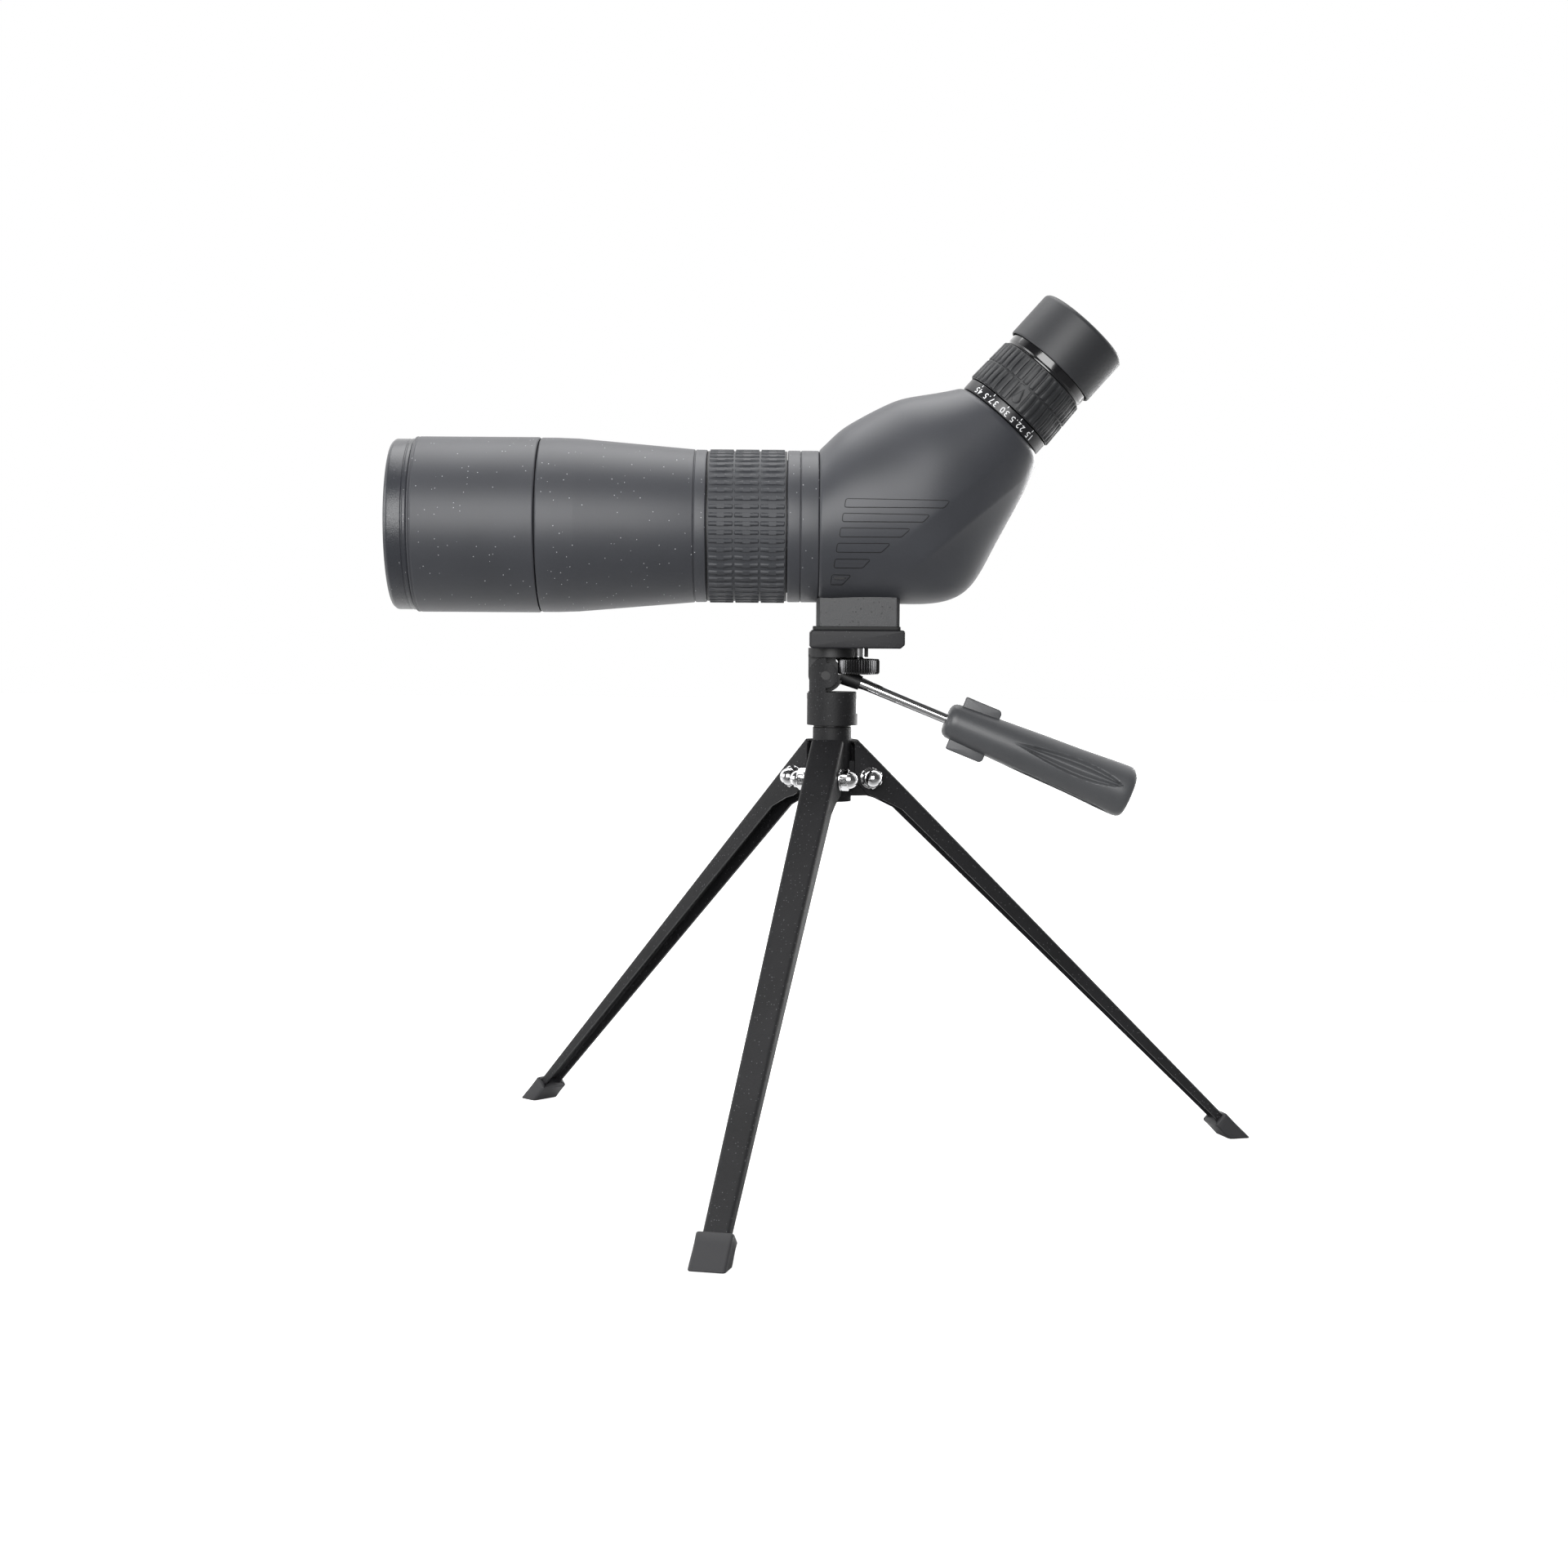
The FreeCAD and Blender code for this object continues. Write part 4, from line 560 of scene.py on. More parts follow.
floor_mesh = bpy.data.meshes.new("studio_floor")
floor_mesh.from_pydata([(-FLOOR, -FLOOR, 0.0), (FLOOR, -FLOOR, 0.0), (FLOOR, FLOOR, 0.0),
                        (-FLOOR, FLOOR, 0.0)], [], [(0, 1, 2, 3)])
floor = bpy.data.objects.new("studio_floor", floor_mesh)
bpy.context.scene.collection.objects.link(floor)
floor_mesh.materials.append(paper)
print("floor of", 2 * FLOOR, "m across")

# %% [markdown]
# ## The turned body
# The sunshade, its front ring, the tapered barrel and the ring behind the focus grip are all
# lathe work. Each is drawn as a closed outline of half its section, with the edges a real tool
# would leave: small rounds, and fine grooves where two parts meet. Carrying that outline round
# the optical axis gives a wall with an inside as well as an outside.

# %% Sunshade, front ring, barrel and rear ring
ROUND = round_angles(192)


def turned_piece(name, corners, radius, where, body, slot, *nodes, angles=ROUND, **extra):
    """Lathe-turned piece from the corners of its half section, softened by a small radius."""
    profile = soften(corners, radius)
    return build(name, [(put(lathe(profile, angles), where), True, True)], body, slot, *nodes,
                 **extra)


turned_piece("sunshade_tube", [
    (-176.3, 35.0), (-125.6, 35.0), (-125.6, 34.1), (-124.1, 34.1), (-124.1, 36.5),
    (-124.6, 37.0), (-174.6, 37.0), (-174.9, 36.75), (-175.3, 36.75), (-175.6, 37.0),
    (-176.2, 36.9)], 0.25, OPTICS, "sunshade", "scope_coating", "sunshade")
turned_piece("front_ring", [
    (-186.2, 33.9), (-185.6, 33.0), (-174.9, 33.0), (-174.9, 34.9), (-176.35, 34.9),
    (-176.35, 35.75), (-176.9, 36.1), (-178.0, 36.1), (-178.2, 35.7), (-178.7, 35.7),
    (-178.9, 36.0), (-184.6, 36.0), (-186.0, 34.9)], 0.5, OPTICS, "sunshade",
    "scope_coating", "front_bezel_ring", finish="front_coating")
turned_piece("tapered_barrel", [
    (-123.8, 34.8), (-112.0, 34.8), (-111.9, 33.9), (-59.9, 30.0), (-59.9, 28.1),
    (-53.9, 28.1), (-53.5, 28.4), (-53.5, 31.7), (-53.9, 32.15), (-58.2, 32.2), (-58.35, 31.8),
    (-58.75, 31.8), (-58.9, 32.3), (-84.0, 34.45), (-107.8, 36.5), (-116.8, 36.8),
    (-123.2, 36.8), (-123.8, 36.3)], 0.3, OPTICS, "scope", "scope_coating", "main_barrel")
turned_piece("rear_ring", [
    (-19.7, 28.1), (-6.4, 28.1), (-6.4, 31.5), (-6.8, 32.0), (-13.8, 32.0), (-13.95, 31.6),
    (-14.25, 31.6), (-14.4, 32.0), (-19.2, 32.0), (-19.7, 31.6)], 0.25, OPTICS, "scope",
    "scope_coating", "coupling_ring")

# %% [markdown]
# ## Ribs of the focus grip
# The rubber band has three columns of low bars that run along the axis. Bars can be cut out as
# a height over the band: inside a rounded rectangle the height is full, outside it is nothing,
# and a narrow slope joins the two. The grid is not even. It puts its lines close together on
# the slopes, where the shape turns, and far apart on the flats.

# %% Bars as a height


def rib_lines(pitch, half_width, slope, repeats):
    """Positions across the bars: close together at each slope, few on bar and gap."""
    steps = np.array([-1.0, -0.55, 0.0, 0.55, 1.0]) * slope
    one = np.concatenate([-half_width + steps, [-0.35 * half_width, 0.35 * half_width],
                          half_width + steps, [pitch / 2]])
    return (np.arange(repeats)[:, None] * pitch + one[None, :]).ravel()


def bar_height(along, across, half_length, half_width, corner, slope):
    """1 on a rounded bar and 0 off it, from the distance to a rectangle with round corners."""
    dx = np.abs(along) - (half_length - corner)
    dy = np.abs(across) - (half_width - corner)
    outside = np.hypot(np.maximum(dx, 0.0), np.maximum(dy, 0.0))
    distance = outside + np.minimum(np.maximum(dx, dy), 0.0) - corner
    return 1.0 - smooth_step(distance, -slope, slope)


print("height at a bar's middle and beside it:", bar_height(0.0, 0.0, 4.0, 1.0, 0.4, 0.1),
      bar_height(0.0, 2.0, 4.0, 1.0, 0.4, 0.1))

# %% [markdown]
# ## A ribbed band
# Both rubber rings of the scope are the same thing with other numbers: columns of bars round a
# groove. The bars' rows and columns are counted from the middle of the nearest bar, so one rule
# for a single bar serves them all. The ends of the band step in a little, like moulded rubber
# that is seated in its groove.

# %% Focus grip
BAR_CORNER, BAR_FLAT, SEAT_STEP = 0.45, 1.5, 0.25
SLOPE_STEPS = np.array([-1, -0.5, 0, 0.5, 1])


def ribbed_band(start, end, columns, gap, ribs, width_share, heights, bore, slope, mark=None):
    """Closed grid of a ribbed ring: rows along the axis, with bars of the given count round it.
    heights are (groove radius, rib height) at the two ends, so a band may taper. The radius is
    groove + height of rib x height of bar, and mark may leave bars out."""
    (low_a, rise_a), (low_b, rise_b) = heights
    step = (end - start) / columns
    half_length = (step - gap) / 2
    centres = start + step * (np.arange(columns) + 0.5)
    offsets = np.concatenate([-half_length + slope * SLOPE_STEPS, [-BAR_FLAT, BAR_FLAT],
                              half_length + slope * SLOPE_STEPS])
    along = np.concatenate([[start], (centres[:, None] + offsets).ravel(), [end]])
    mean = (low_a + low_b) / 2 + rise_a
    pitch = 2 * math.pi * mean / ribs
    half_width = pitch * width_share / 2
    across = rib_lines(pitch, half_width, slope, ribs)
    nearest = centres[np.argmin(np.abs(along[:, None] - centres), axis=1)]
    local = (along - nearest)[:, None]
    sideways = ((across + pitch / 2) % pitch - pitch / 2)[None, :]
    height = bar_height(local, sideways, half_length, half_width, BAR_CORNER, slope)
    angles = across / mean
    if mark is not None:
        height = mark(along[:, None], angles[None, :] * mean, height)
    share = ((along - start) / (end - start))[:, None]
    radius = low_a + (low_b - low_a) * share + (rise_a + (rise_b - rise_a) * share) * height
    inner = np.full((1, radius.shape[1]), bore)
    radius = np.concatenate([inner, radius[:1] - SEAT_STEP, radius, radius[-1:] - SEAT_STEP,
                             inner])
    along = np.concatenate([[start, start], along, [end, end]])
    return about_axis(along[:, None], radius, angles)


band = ribbed_band(-52.75, -20.45, columns=3, gap=0.9, ribs=56, width_share=0.53,
                   heights=((31.65, 0.7), (31.65, 0.7)), bore=30.5, slope=0.08)
build("focus_grip_band", [(put(band, OPTICS), True, True)], "focus_ring", "grip_rubber",
      "focus_grip", crease=28.0)

# %% [markdown]
# ## The prism housing
# The housing bends the light path up by 48 degrees, and it is drawn the same way: an oval
# section swings about a level line above the scope, and changes its size as it goes. Nine
# stations fix the near and far edge and the half width, and a smooth spline passes through
# them.

# %% Stations and spline
STATIONS = np.array([
    (0, 80.95, 145.45, 32.25), (6, 74.0, 146.3, 32.6), (12, 70.4, 148.8, 33.0),
    (18, 68.6, 152.9, 33.0), (24, 67.9, 153.3, 32.4), (30, 68.6, 144.6, 30.6),
    (36, 71.5, 136.4, 28.0), (42, 75.9, 130.3, 25.0), (48, 81.2, 124.6, 21.9)], dtype=float)


def spline_bends(knots, values):
    """Second derivatives of the natural cubic spline through the knots."""
    gaps = np.diff(knots)
    system = np.eye(len(knots))
    right = np.zeros(len(knots))
    inner = np.arange(1, len(knots) - 1)
    system[inner, inner - 1] = gaps[:-1] / 6
    system[inner, inner] = (gaps[:-1] + gaps[1:]) / 3
    system[inner, inner + 1] = gaps[1:] / 6
    slopes = np.diff(values) / gaps
    right[1:-1] = np.diff(slopes)
    return np.linalg.solve(system, right)


def spline(knots, values, places):
    """Cubic spline: each gap blends its end values and end bends, a v0 + b v1 + ..."""
    bends = spline_bends(knots, values)
    k = np.clip(np.searchsorted(knots, places) - 1, 0, len(knots) - 2)
    gap = knots[k + 1] - knots[k]
    a = (knots[k + 1] - places) / gap
    b = 1.0 - a
    return (a * values[k] + b * values[k + 1]
            + ((a ** 3 - a) * bends[k] + (b ** 3 - b) * bends[k + 1]) * gap ** 2 / 6)


def station(sweep):
    """Near edge, far edge and half width of the oval at a swing angle in degrees."""
    return tuple(spline(STATIONS[:, 0], STATIONS[:, column], sweep) for column in (1, 2, 3))


print("oval half way round the bend:", [round(float(v), 1) for v in station(24.0)])

# %% [markdown]
# ## Slanting ridges and the housing's skin
# Two shallow slopes are taken off the lower flank, which leave the slanting ridges on each side.
# They come off the half width of the oval, so that the skin stays one grid with no seams. The
# grid goes down the outside, over a rounded lip round the eyepiece, back up the inside and out
# at the mouth for the barrel, which gives the housing a wall.

# %% Housing skin
RIDGES = (((30.8, 267.2), (64.4, 293.8), 0.28, 1.8), ((36.0, 256.4), (69.2, 283.0), 0.62, 5.2))


def ridge_cut(x, z):
    """Depth taken off the flank: below each slanting line it grows by the line's slope, up to
    its limit, and it fades out before the line's lower end."""
    depth = 0.0
    for (x0, z0), (x1, z1), slope, limit in RIDGES:
        length = math.hypot(x1 - x0, z1 - z0)
        ux, uz = (x1 - x0) / length, (z1 - z0) / length
        ahead = (x - x0) * ux + (z - z0) * uz
        below = (x - x0) * uz - (z - z0) * ux
        ramp = np.maximum(below, 0.0) * slope
        depth = depth + limit * (1 - np.exp(-ramp / limit)) * smooth_step(ahead, -14.0, 12.0)
    sweep = np.degrees(np.arctan2(x - HINGE_X, HINGE_Z - z))
    return depth * (1 - smooth_step(sweep, 39.0, 46.5))


def flank(x, z):
    """Half width of the housing at a point of its side view: the oval's y = h sqrt(1 - c^2),
    where c runs from -1 at the near edge to 1 at the far one."""
    sweep = np.degrees(np.arctan2(x - HINGE_X, HINGE_Z - z))
    near, far, half = station(sweep)
    reach = np.hypot(x - HINGE_X, HINGE_Z - z)
    c = (reach - (near + far) / 2) / ((far - near) / 2)
    level = np.sqrt(np.maximum(1.0 - c * c, 0.0))
    return (half - ridge_cut(x, z)) * level


def housing_grid(sweep, turn, inset):
    """Points of the skin at swing angles (rows) and turns round the oval (columns)."""
    near, far, half = (v[:, None] for v in station(sweep))
    near, far, half = near + inset, far - inset, half - inset
    reach = (near + far) / 2 + (far - near) / 2 * np.cos(turn)
    lean = np.radians(sweep)[:, None]
    x = HINGE_X + reach * np.sin(lean)
    z = HINGE_Z - reach * np.cos(lean)
    y = (half - ridge_cut(x, z)) * np.sin(turn)
    return np.stack([x, y, z], axis=-1)


def round_hole(where, radius, turn, along):
    """Circle of a bore's edge in the same order of turns as the oval."""
    origin, (ahead, side, up) = where
    centre = (origin - COLUMN) / MM + ahead * along
    ring = centre + radius * (np.sin(turn)[:, None] * side - np.cos(turn)[:, None] * up)
    return ring[None, :, :]


WALL, MOUTH_RADIUS, EYE_HOLE_RADIUS = 2.2, 29.9, 17.1
SKIN_ROWS, LIP_START, LIP_SWEEP, FIRST_STEP = 150, 46.6, 1.4, 0.35
turn = round_angles(240)
lip = np.linspace(0.0, math.pi / 2, 7)[1:]
sweep = np.concatenate([np.linspace(0.0, LIP_START, SKIN_ROWS),
                        48.0 - LIP_SWEEP * (1 - np.sin(lip))])
inset = np.concatenate([np.zeros(SKIN_ROWS), WALL * (1 - np.cos(lip))])[:, None]
inset[0] = FIRST_STEP
outside = housing_grid(sweep, turn, inset)
inside = housing_grid(np.linspace(46.7, 0.0, 40), turn, WALL)
shell = np.concatenate([outside, round_hole(EYEPIECE, EYE_HOLE_RADIUS, turn, 0.0),
                        round_hole(EYEPIECE, EYE_HOLE_RADIUS, turn, -WALL), inside,
                        round_hole(OPTICS, MOUTH_RADIUS, turn, HINGE_X)])
build("prism_housing_shell", [(put(shell, PLAIN), True, True)], "scope", "scope_coating",
      "prism_housing", crease=50.0, finish="housing_coating")

# %% [markdown]
# ## Raised bars on the housing
# Six bars get shorter down each flank. Each bar is a thin plate that follows the skin. Its
# outline is drawn in the side view and rounded a little. Rings of points step up from the skin,
# over a small bevel, and close on the bar's middle line, and each ring takes its height from the
# flank below it. A slightly wider and lower black plate under each bar is painted shade: it
# draws a dark line round the bar for the shade in the fine groove where a moulded bar would meet
# the skin.

# %% Housing bars
BARS = (((4.5, 281.7), (3.9, 278.4), (44.8, 278.4), (47.1, 281.2)),
        ((3.3, 275.7), (3.0, 272.5), (36.2, 272.5), (38.8, 275.3)),
        ((2.4, 269.7), (2.0, 266.3), (27.3, 266.3), (30.8, 269.5)),
        ((1.2, 263.4), (0.7, 260.0), (19.1, 260.0), (22.7, 263.4)),
        ((0.3, 256.9), (-0.1, 253.6), (11.5, 253.6), (14.6, 256.9)),
        ((-0.8, 250.5), (-1.4, 246.7), (3.3, 246.7), (6.7, 250.4)))
BAR_ROUND, BAR_POINTS, BAR_ROOT, BAR_BEVEL = 0.7, 120, 0.6, 0.1
SPINE_START, SPINE_END = 1.6, 2.6


def resampled(outline, count):
    """The same closed outline at equal steps along its length."""
    loop = np.concatenate([outline, outline[:1]])
    length = np.concatenate([[0.0], np.cumsum(np.linalg.norm(np.diff(loop, axis=0), axis=1))])
    places = np.linspace(0.0, length[-1], count, endpoint=False)
    return np.stack([np.interp(places, length, loop[:, k]) for k in (0, 1)], axis=-1)


def drawn_in(outline, inset):
    """Outline moved inwards along its own normals, found from each point's neighbours."""
    tangent = np.roll(outline, -1, axis=0) - np.roll(outline, 1, axis=0)
    normal = np.stack([tangent[:, 1], -tangent[:, 0]], axis=-1)
    normal /= np.maximum(np.linalg.norm(normal, axis=1, keepdims=True), 1e-9)
    area = np.sum(outline[:, 0] * np.roll(outline[:, 1], -1)
                  - outline[:, 1] * np.roll(outline[:, 0], -1))
    return outline - normal * inset * (1.0 if area > 0 else -1.0)


def bar_plate(corners, side, grow, lift):
    """Closed plate on one flank: rings from under the skin up to its face. Each ring is the
    outline moved by a share of the way to the spine, at y = flank + step."""
    outline = drawn_in(resampled(soften(corners, BAR_ROUND), BAR_POINTS), -grow)
    x, z = outline.T
    spine = np.stack([np.clip(x, x.min() + SPINE_START, x.max() - SPINE_END),
                      np.full(len(x), z.mean())], axis=-1)
    rings = []
    for share, step in ((0.0, -BAR_ROOT), (0.0, lift - BAR_BEVEL), (0.04, lift), (0.5, lift),
                        (1.0, lift)):
        flat = outline + (spine - outline) * share
        y = side * (flank(flat[:, 0], flat[:, 1]) + step)
        rings.append(np.stack([flat[:, 0], y, flat[:, 1]], axis=-1))
    lowest = rings[0].copy()
    lowest[:, (0, 2)] = spine
    return np.stack([lowest, *rings])


# The first set of plates is painted shade, a dark line round each bar; the second set is the bars.
for name, grow, lift, finish in (("bar_outlines", 0.36, 0.05, "groove_shade_black"),
                                 ("housing_bars", 0.0, 0.36, "housing_coating")):
    plates = [(put(bar_plate(bar, side, grow, lift), PLAIN), False, True)
              for bar in BARS for side in (-1, 1)]
    build(name, plates, "scope", "scope_coating", crease=30.0, finish=finish)

# %% [markdown]
# ## The eyepiece
# A black sleeve carries the zoom scale, a ribbed rubber ring turns above it, and a glossy neck
# leads up to the soft eyecup. All of them are turned about the slanting eyepiece axis. The
# eyecup's rim is a generous round, because it touches the face, and its skirt is open below.

# %% Sleeve, neck and eyecup
turned_piece("scale_ring", [(0.1, 17.1), (5.5, 17.1), (5.5, 20.3), (5.2, 20.65), (0.5, 20.65),
                            (0.1, 20.3)], 0.2, EYEPIECE, "scope", "scale_black", "scale_sleeve")
turned_piece("gloss_neck", [
    (26.7, 15.05), (30.2, 15.05), (30.2, 13.5), (46.0, 13.5), (46.0, 16.5), (36.1, 16.5),
    (36.0, 19.4), (35.4, 20.0), (28.0, 20.0), (27.5, 19.6), (26.7, 19.6)], 0.3, EYEPIECE,
    "scope", "neck_black", "eyepiece_neck")
rim = np.linspace(0.0, math.pi / 2, 9)
eyecup_profile = np.concatenate([
    soften([(48.55, 16.9), (48.55, 20.25), (40.95, 20.25), (40.95, 20.4), (31.9, 20.4),
            (31.2, 20.7), (31.3, 21.25), (32.0, 21.4), (44.0, 21.4)], 0.2, closed=False),
    np.stack([51.1 + 2.0 * np.sin(rim), 19.4 + 2.0 * np.cos(rim)], axis=-1),
    soften([(53.1, 18.9), (52.5, 18.2), (50.5, 17.6)], 0.3, closed=False)])
build("soft_eyecup", [(put(lathe(eyecup_profile, ROUND), EYEPIECE), True, True)], "eyecup",
      "eyecup_rubber", "eyecup")

# %% [markdown]
# ## Figures round the sleeve
# Text starts as a flat curve. Made a mesh, its points can be rolled on to the sleeve like a
# label: across the text becomes an angle, and up the text becomes a shift along the axis. The
# figures stand with their tops towards the housing, and a short tick points at the zoom ring.

# %% Scale figures
FIGURES = (("15", 38.0), ("22.5", 16.8), ("30", -4.3), ("37.5", -26.2), ("45", -47.4))
SLEEVE_RADIUS, INK_LIFT, INK_HALF = 20.65, 0.03, 0.02
FIGURE_HEIGHT, CAP_SHARE, FIGURE_ROW, TICK_ROW = 2.6, 0.69, 2.2, 4.65


def flat_figure(text, height):
    """Points (across, up, out) and faces of a thin raised text, centred on its middle."""
    curve = bpy.data.curves.new("figure", "FONT")
    curve.body = text
    curve.size = height / CAP_SHARE
    curve.space_character = 1.22
    curve.offset = 0.012
    curve.extrude = INK_HALF
    holder = bpy.data.objects.new("figure", curve)
    bpy.context.scene.collection.objects.link(holder)
    bpy.context.view_layer.update()
    shape = bpy.data.meshes.new_from_object(
        holder.evaluated_get(bpy.context.evaluated_depsgraph_get()))
    points = np.zeros(len(shape.vertices) * 3)
    shape.vertices.foreach_get("co", points)
    points = points.reshape(-1, 3)
    faces = [tuple(face.vertices) for face in shape.polygons]
    bpy.data.objects.remove(holder)
    bpy.data.meshes.remove(shape)
    bpy.data.curves.remove(curve)
    middle = (points.min(axis=0) + points.max(axis=0)) / 2
    return points - middle, faces


def rolled(points, angle, along):
    """Wraps flat text on the sleeve: angle - across / R, along - up, and radius R + out."""
    turns = math.radians(angle) - points[:, 0] / SLEEVE_RADIUS
    radius = SLEEVE_RADIUS + INK_LIFT + points[:, 2]
    return about_axis(along - points[:, 1], radius, turns)


def tick(width, length):
    """Thin block for one scale mark: eight corners and six faces."""
    x, y, z = np.meshgrid([-width / 2, width / 2], [-length / 2, length / 2],
                          [-INK_HALF, INK_HALF], indexing="ij")
    corners = np.stack([x.ravel(), y.ravel(), z.ravel()], axis=-1)
    faces = [(0, 1, 3, 2), (4, 6, 7, 5), (0, 4, 5, 1), (2, 3, 7, 6), (0, 2, 6, 4), (1, 5, 7, 3)]
    return corners, faces


print("figures of", FIGURE_HEIGHT, "mm on a sleeve of radius", SLEEVE_RADIUS)

# %% [markdown]
# ## One mesh for all the figures
# The five figures and their ticks are printed together on the real sleeve, so they become one
# piece here. Each flat shape is rolled first and set on the eyepiece axis, and its faces are
# counted on from the points that are already in the list.

# %% Figures and ticks
label_points, label_faces, first = [], [], 0
for text, angle in FIGURES:
    for (points, faces), along in ((flat_figure(text, FIGURE_HEIGHT), FIGURE_ROW),
                                   (tick(0.34, 1.0), TICK_ROW)):
        label_points.append(put(rolled(points, angle, along), EYEPIECE))
        label_faces += [tuple(corner + first for corner in face) for face in faces]
        first += len(points)
label_mesh = bpy.data.meshes.new("scale_figures")
label_mesh.from_pydata(np.concatenate(label_points).tolist(), [], label_faces)
finish_piece("scale_figures", label_mesh, "scope", "scale_black", finish="white_ink")

# %% [markdown]
# ## Zoom ring
# The zoom ring's rubber has two rows of wide ribs with narrow grooves. A drop-shaped pointer
# shows the setting, and the ribs stop short of it. The pointer is a small plate of its own,
# rolled on to the ring in the same way as the figures.

# %% Zoom grip and pointer
POINTER_ANGLE = math.radians(-4.3)
ZOOM_START, ZOOM_LENGTH, ZOOM_LOW, ZOOM_FALL, ZOOM_MEAN = 5.8, 20.6, 20.9, 0.8, 21.1
DROP_MIDDLE, DROP_RADIUS = 9.4, 1.9


def clear_pointer(along, arc, height):
    """Ribs left out round the pointer: nothing inside a window, full height outside it. The
    distance from the pointer is counted round the ring, and half a turn is the farthest."""
    half_turn = math.pi * ZOOM_MEAN
    distance = (arc - POINTER_ANGLE * ZOOM_MEAN + half_turn) % (2 * half_turn)
    beside = np.abs(distance - half_turn)
    window = (1 - smooth_step(beside, 2.5, 2.9)) * (1 - smooth_step(along, 15.5, 16.2))
    return height * (1 - window)


zoom_band = ribbed_band(ZOOM_START, ZOOM_START + ZOOM_LENGTH, columns=2, gap=0.8, ribs=40,
                        width_share=0.72, bore=19.42, slope=0.09, mark=clear_pointer,
                        heights=((ZOOM_LOW, 0.6), (ZOOM_LOW - ZOOM_FALL, 0.6)))
build("zoom_grip_band", [(put(zoom_band, EYEPIECE), True, True)], "zoom_ring", "grip_rubber",
      "zoom_grip", crease=28.0, finish="zoom_rubber")

bend = np.linspace(math.radians(-115.0), math.radians(115.0), 33)
drop = np.concatenate([
    np.stack([DROP_MIDDLE - DROP_RADIUS * np.cos(bend), DROP_RADIUS * np.sin(bend)], axis=-1),
    [(13.6, 0.55), (14.6, 0.0), (13.6, -0.55)]])
drop_rings = []
for share, lift in ((1.0, -0.5), (0.0, -0.5), (0.0, 0.28), (0.12, 0.40), (0.5, 0.40),
                    (1.0, 0.40)):
    along, arc = (drop + (np.array([DROP_MIDDLE, 0.0]) - drop) * share).T
    radius = ZOOM_LOW - ZOOM_FALL * (along - ZOOM_START) / ZOOM_LENGTH + lift
    turns = POINTER_ANGLE + arc / 21.0
    drop_rings.append(about_axis(along, radius, turns))
build("zoom_pointer", [(put(np.stack(drop_rings), EYEPIECE), False, True)], "zoom_ring",
      "grip_rubber", finish="zoom_rubber")

# %% [markdown]
# ## Plates with rounded edges
# Flat parts are an outline with a thickness. A real edge is never sharp, so the outline draws
# in along a quarter round at each end: the inset is e(1 - sin t) while the depth is e(1 - cos t).
# The two flat faces close on the outline's centre. An outline drawn in the side view has its
# thickness across the scope, so its last two coordinates change places.

# %% Camera plate, pad and rib
SIDE_VIEW = [0, 2, 1]


def slab(outline, low, high, edge, steps=4):
    """Closed plate (a, b, c): the outline in a and b, from low to high in c, edges rounded."""
    t = np.linspace(0.0, math.pi / 2, steps + 1)
    insets = edge * (1 - np.sin(t))
    depths = edge * (1 - np.cos(t))
    rings = [*zip(insets, low + depths), *zip(insets[::-1], high - depths[::-1])]
    layers = [np.column_stack([drawn_in(outline, i), np.full(len(outline), c)]) for i, c in rings]
    centre = outline.mean(axis=0)
    caps = [np.column_stack([np.tile(centre, (len(outline), 1)), np.full(len(outline), c)])
            for c in (low, high)]
    return np.stack([caps[0], *layers, caps[1]])


plate = soften([(-8.9, 220.0), (28.3, 220.0), (30.1, 221.6), (30.1, 227.1), (29.5, 227.7),
                (-8.7, 227.7), (-9.9, 226.5), (-9.9, 220.6)], 0.4, 3)
pad = soften([(-8.5, -13.0), (28.4, -13.0), (28.4, 13.0), (-8.5, 13.0)], 2.0, 5)
rib = soften([(1.3, 215.4), (5.2, 211.2), (5.2, 209.4), (13.6, 209.4), (13.6, 220.0),
              (1.3, 220.0)], 0.6)
build("camera_plate_block", [(put(slab(plate, -15.0, 15.0, 0.7)[..., SIDE_VIEW], PLAIN), False,
                              True)], "tilt", "head_black", "camera_plate", finish="plate_grey")
build("head_rib", [(put(slab(rib, 9.6, 12.4, 0.4)[..., SIDE_VIEW], PLAIN), False, True)],
      "tilt", "head_black", finish="smooth_black")
build("plate_pad_sheet", [(put(slab(pad, 227.7, 229.25, 0.3), PLAIN), False, True)], "tilt",
      "pad_rubber", "plate_pad")

# %% [markdown]
# ## Knurled knob
# A straight knurl is a row of teeth pressed into the rim. Its radius drops by a rounded saw
# wave, and the drop dies out at the chamfered edges, so each tooth ends in a small facet.

# %% Camera screw and knob
TEETH, TOOTH_DEPTH = 48, 0.75


def knurl(along, angle, radius):
    """Tooth form: -depth (1 - |cos(n a / 2)|)^0.7 on the rim, fading to nothing at its ends."""
    wave = (1.0 - np.abs(np.cos(angle * TEETH / 2))) ** 0.7
    middle = smooth_step(along, 209.0, 209.7) * (1 - smooth_step(along, 214.9, 215.5))
    return -TOOTH_DEPTH * wave * middle * (radius > 8.0)


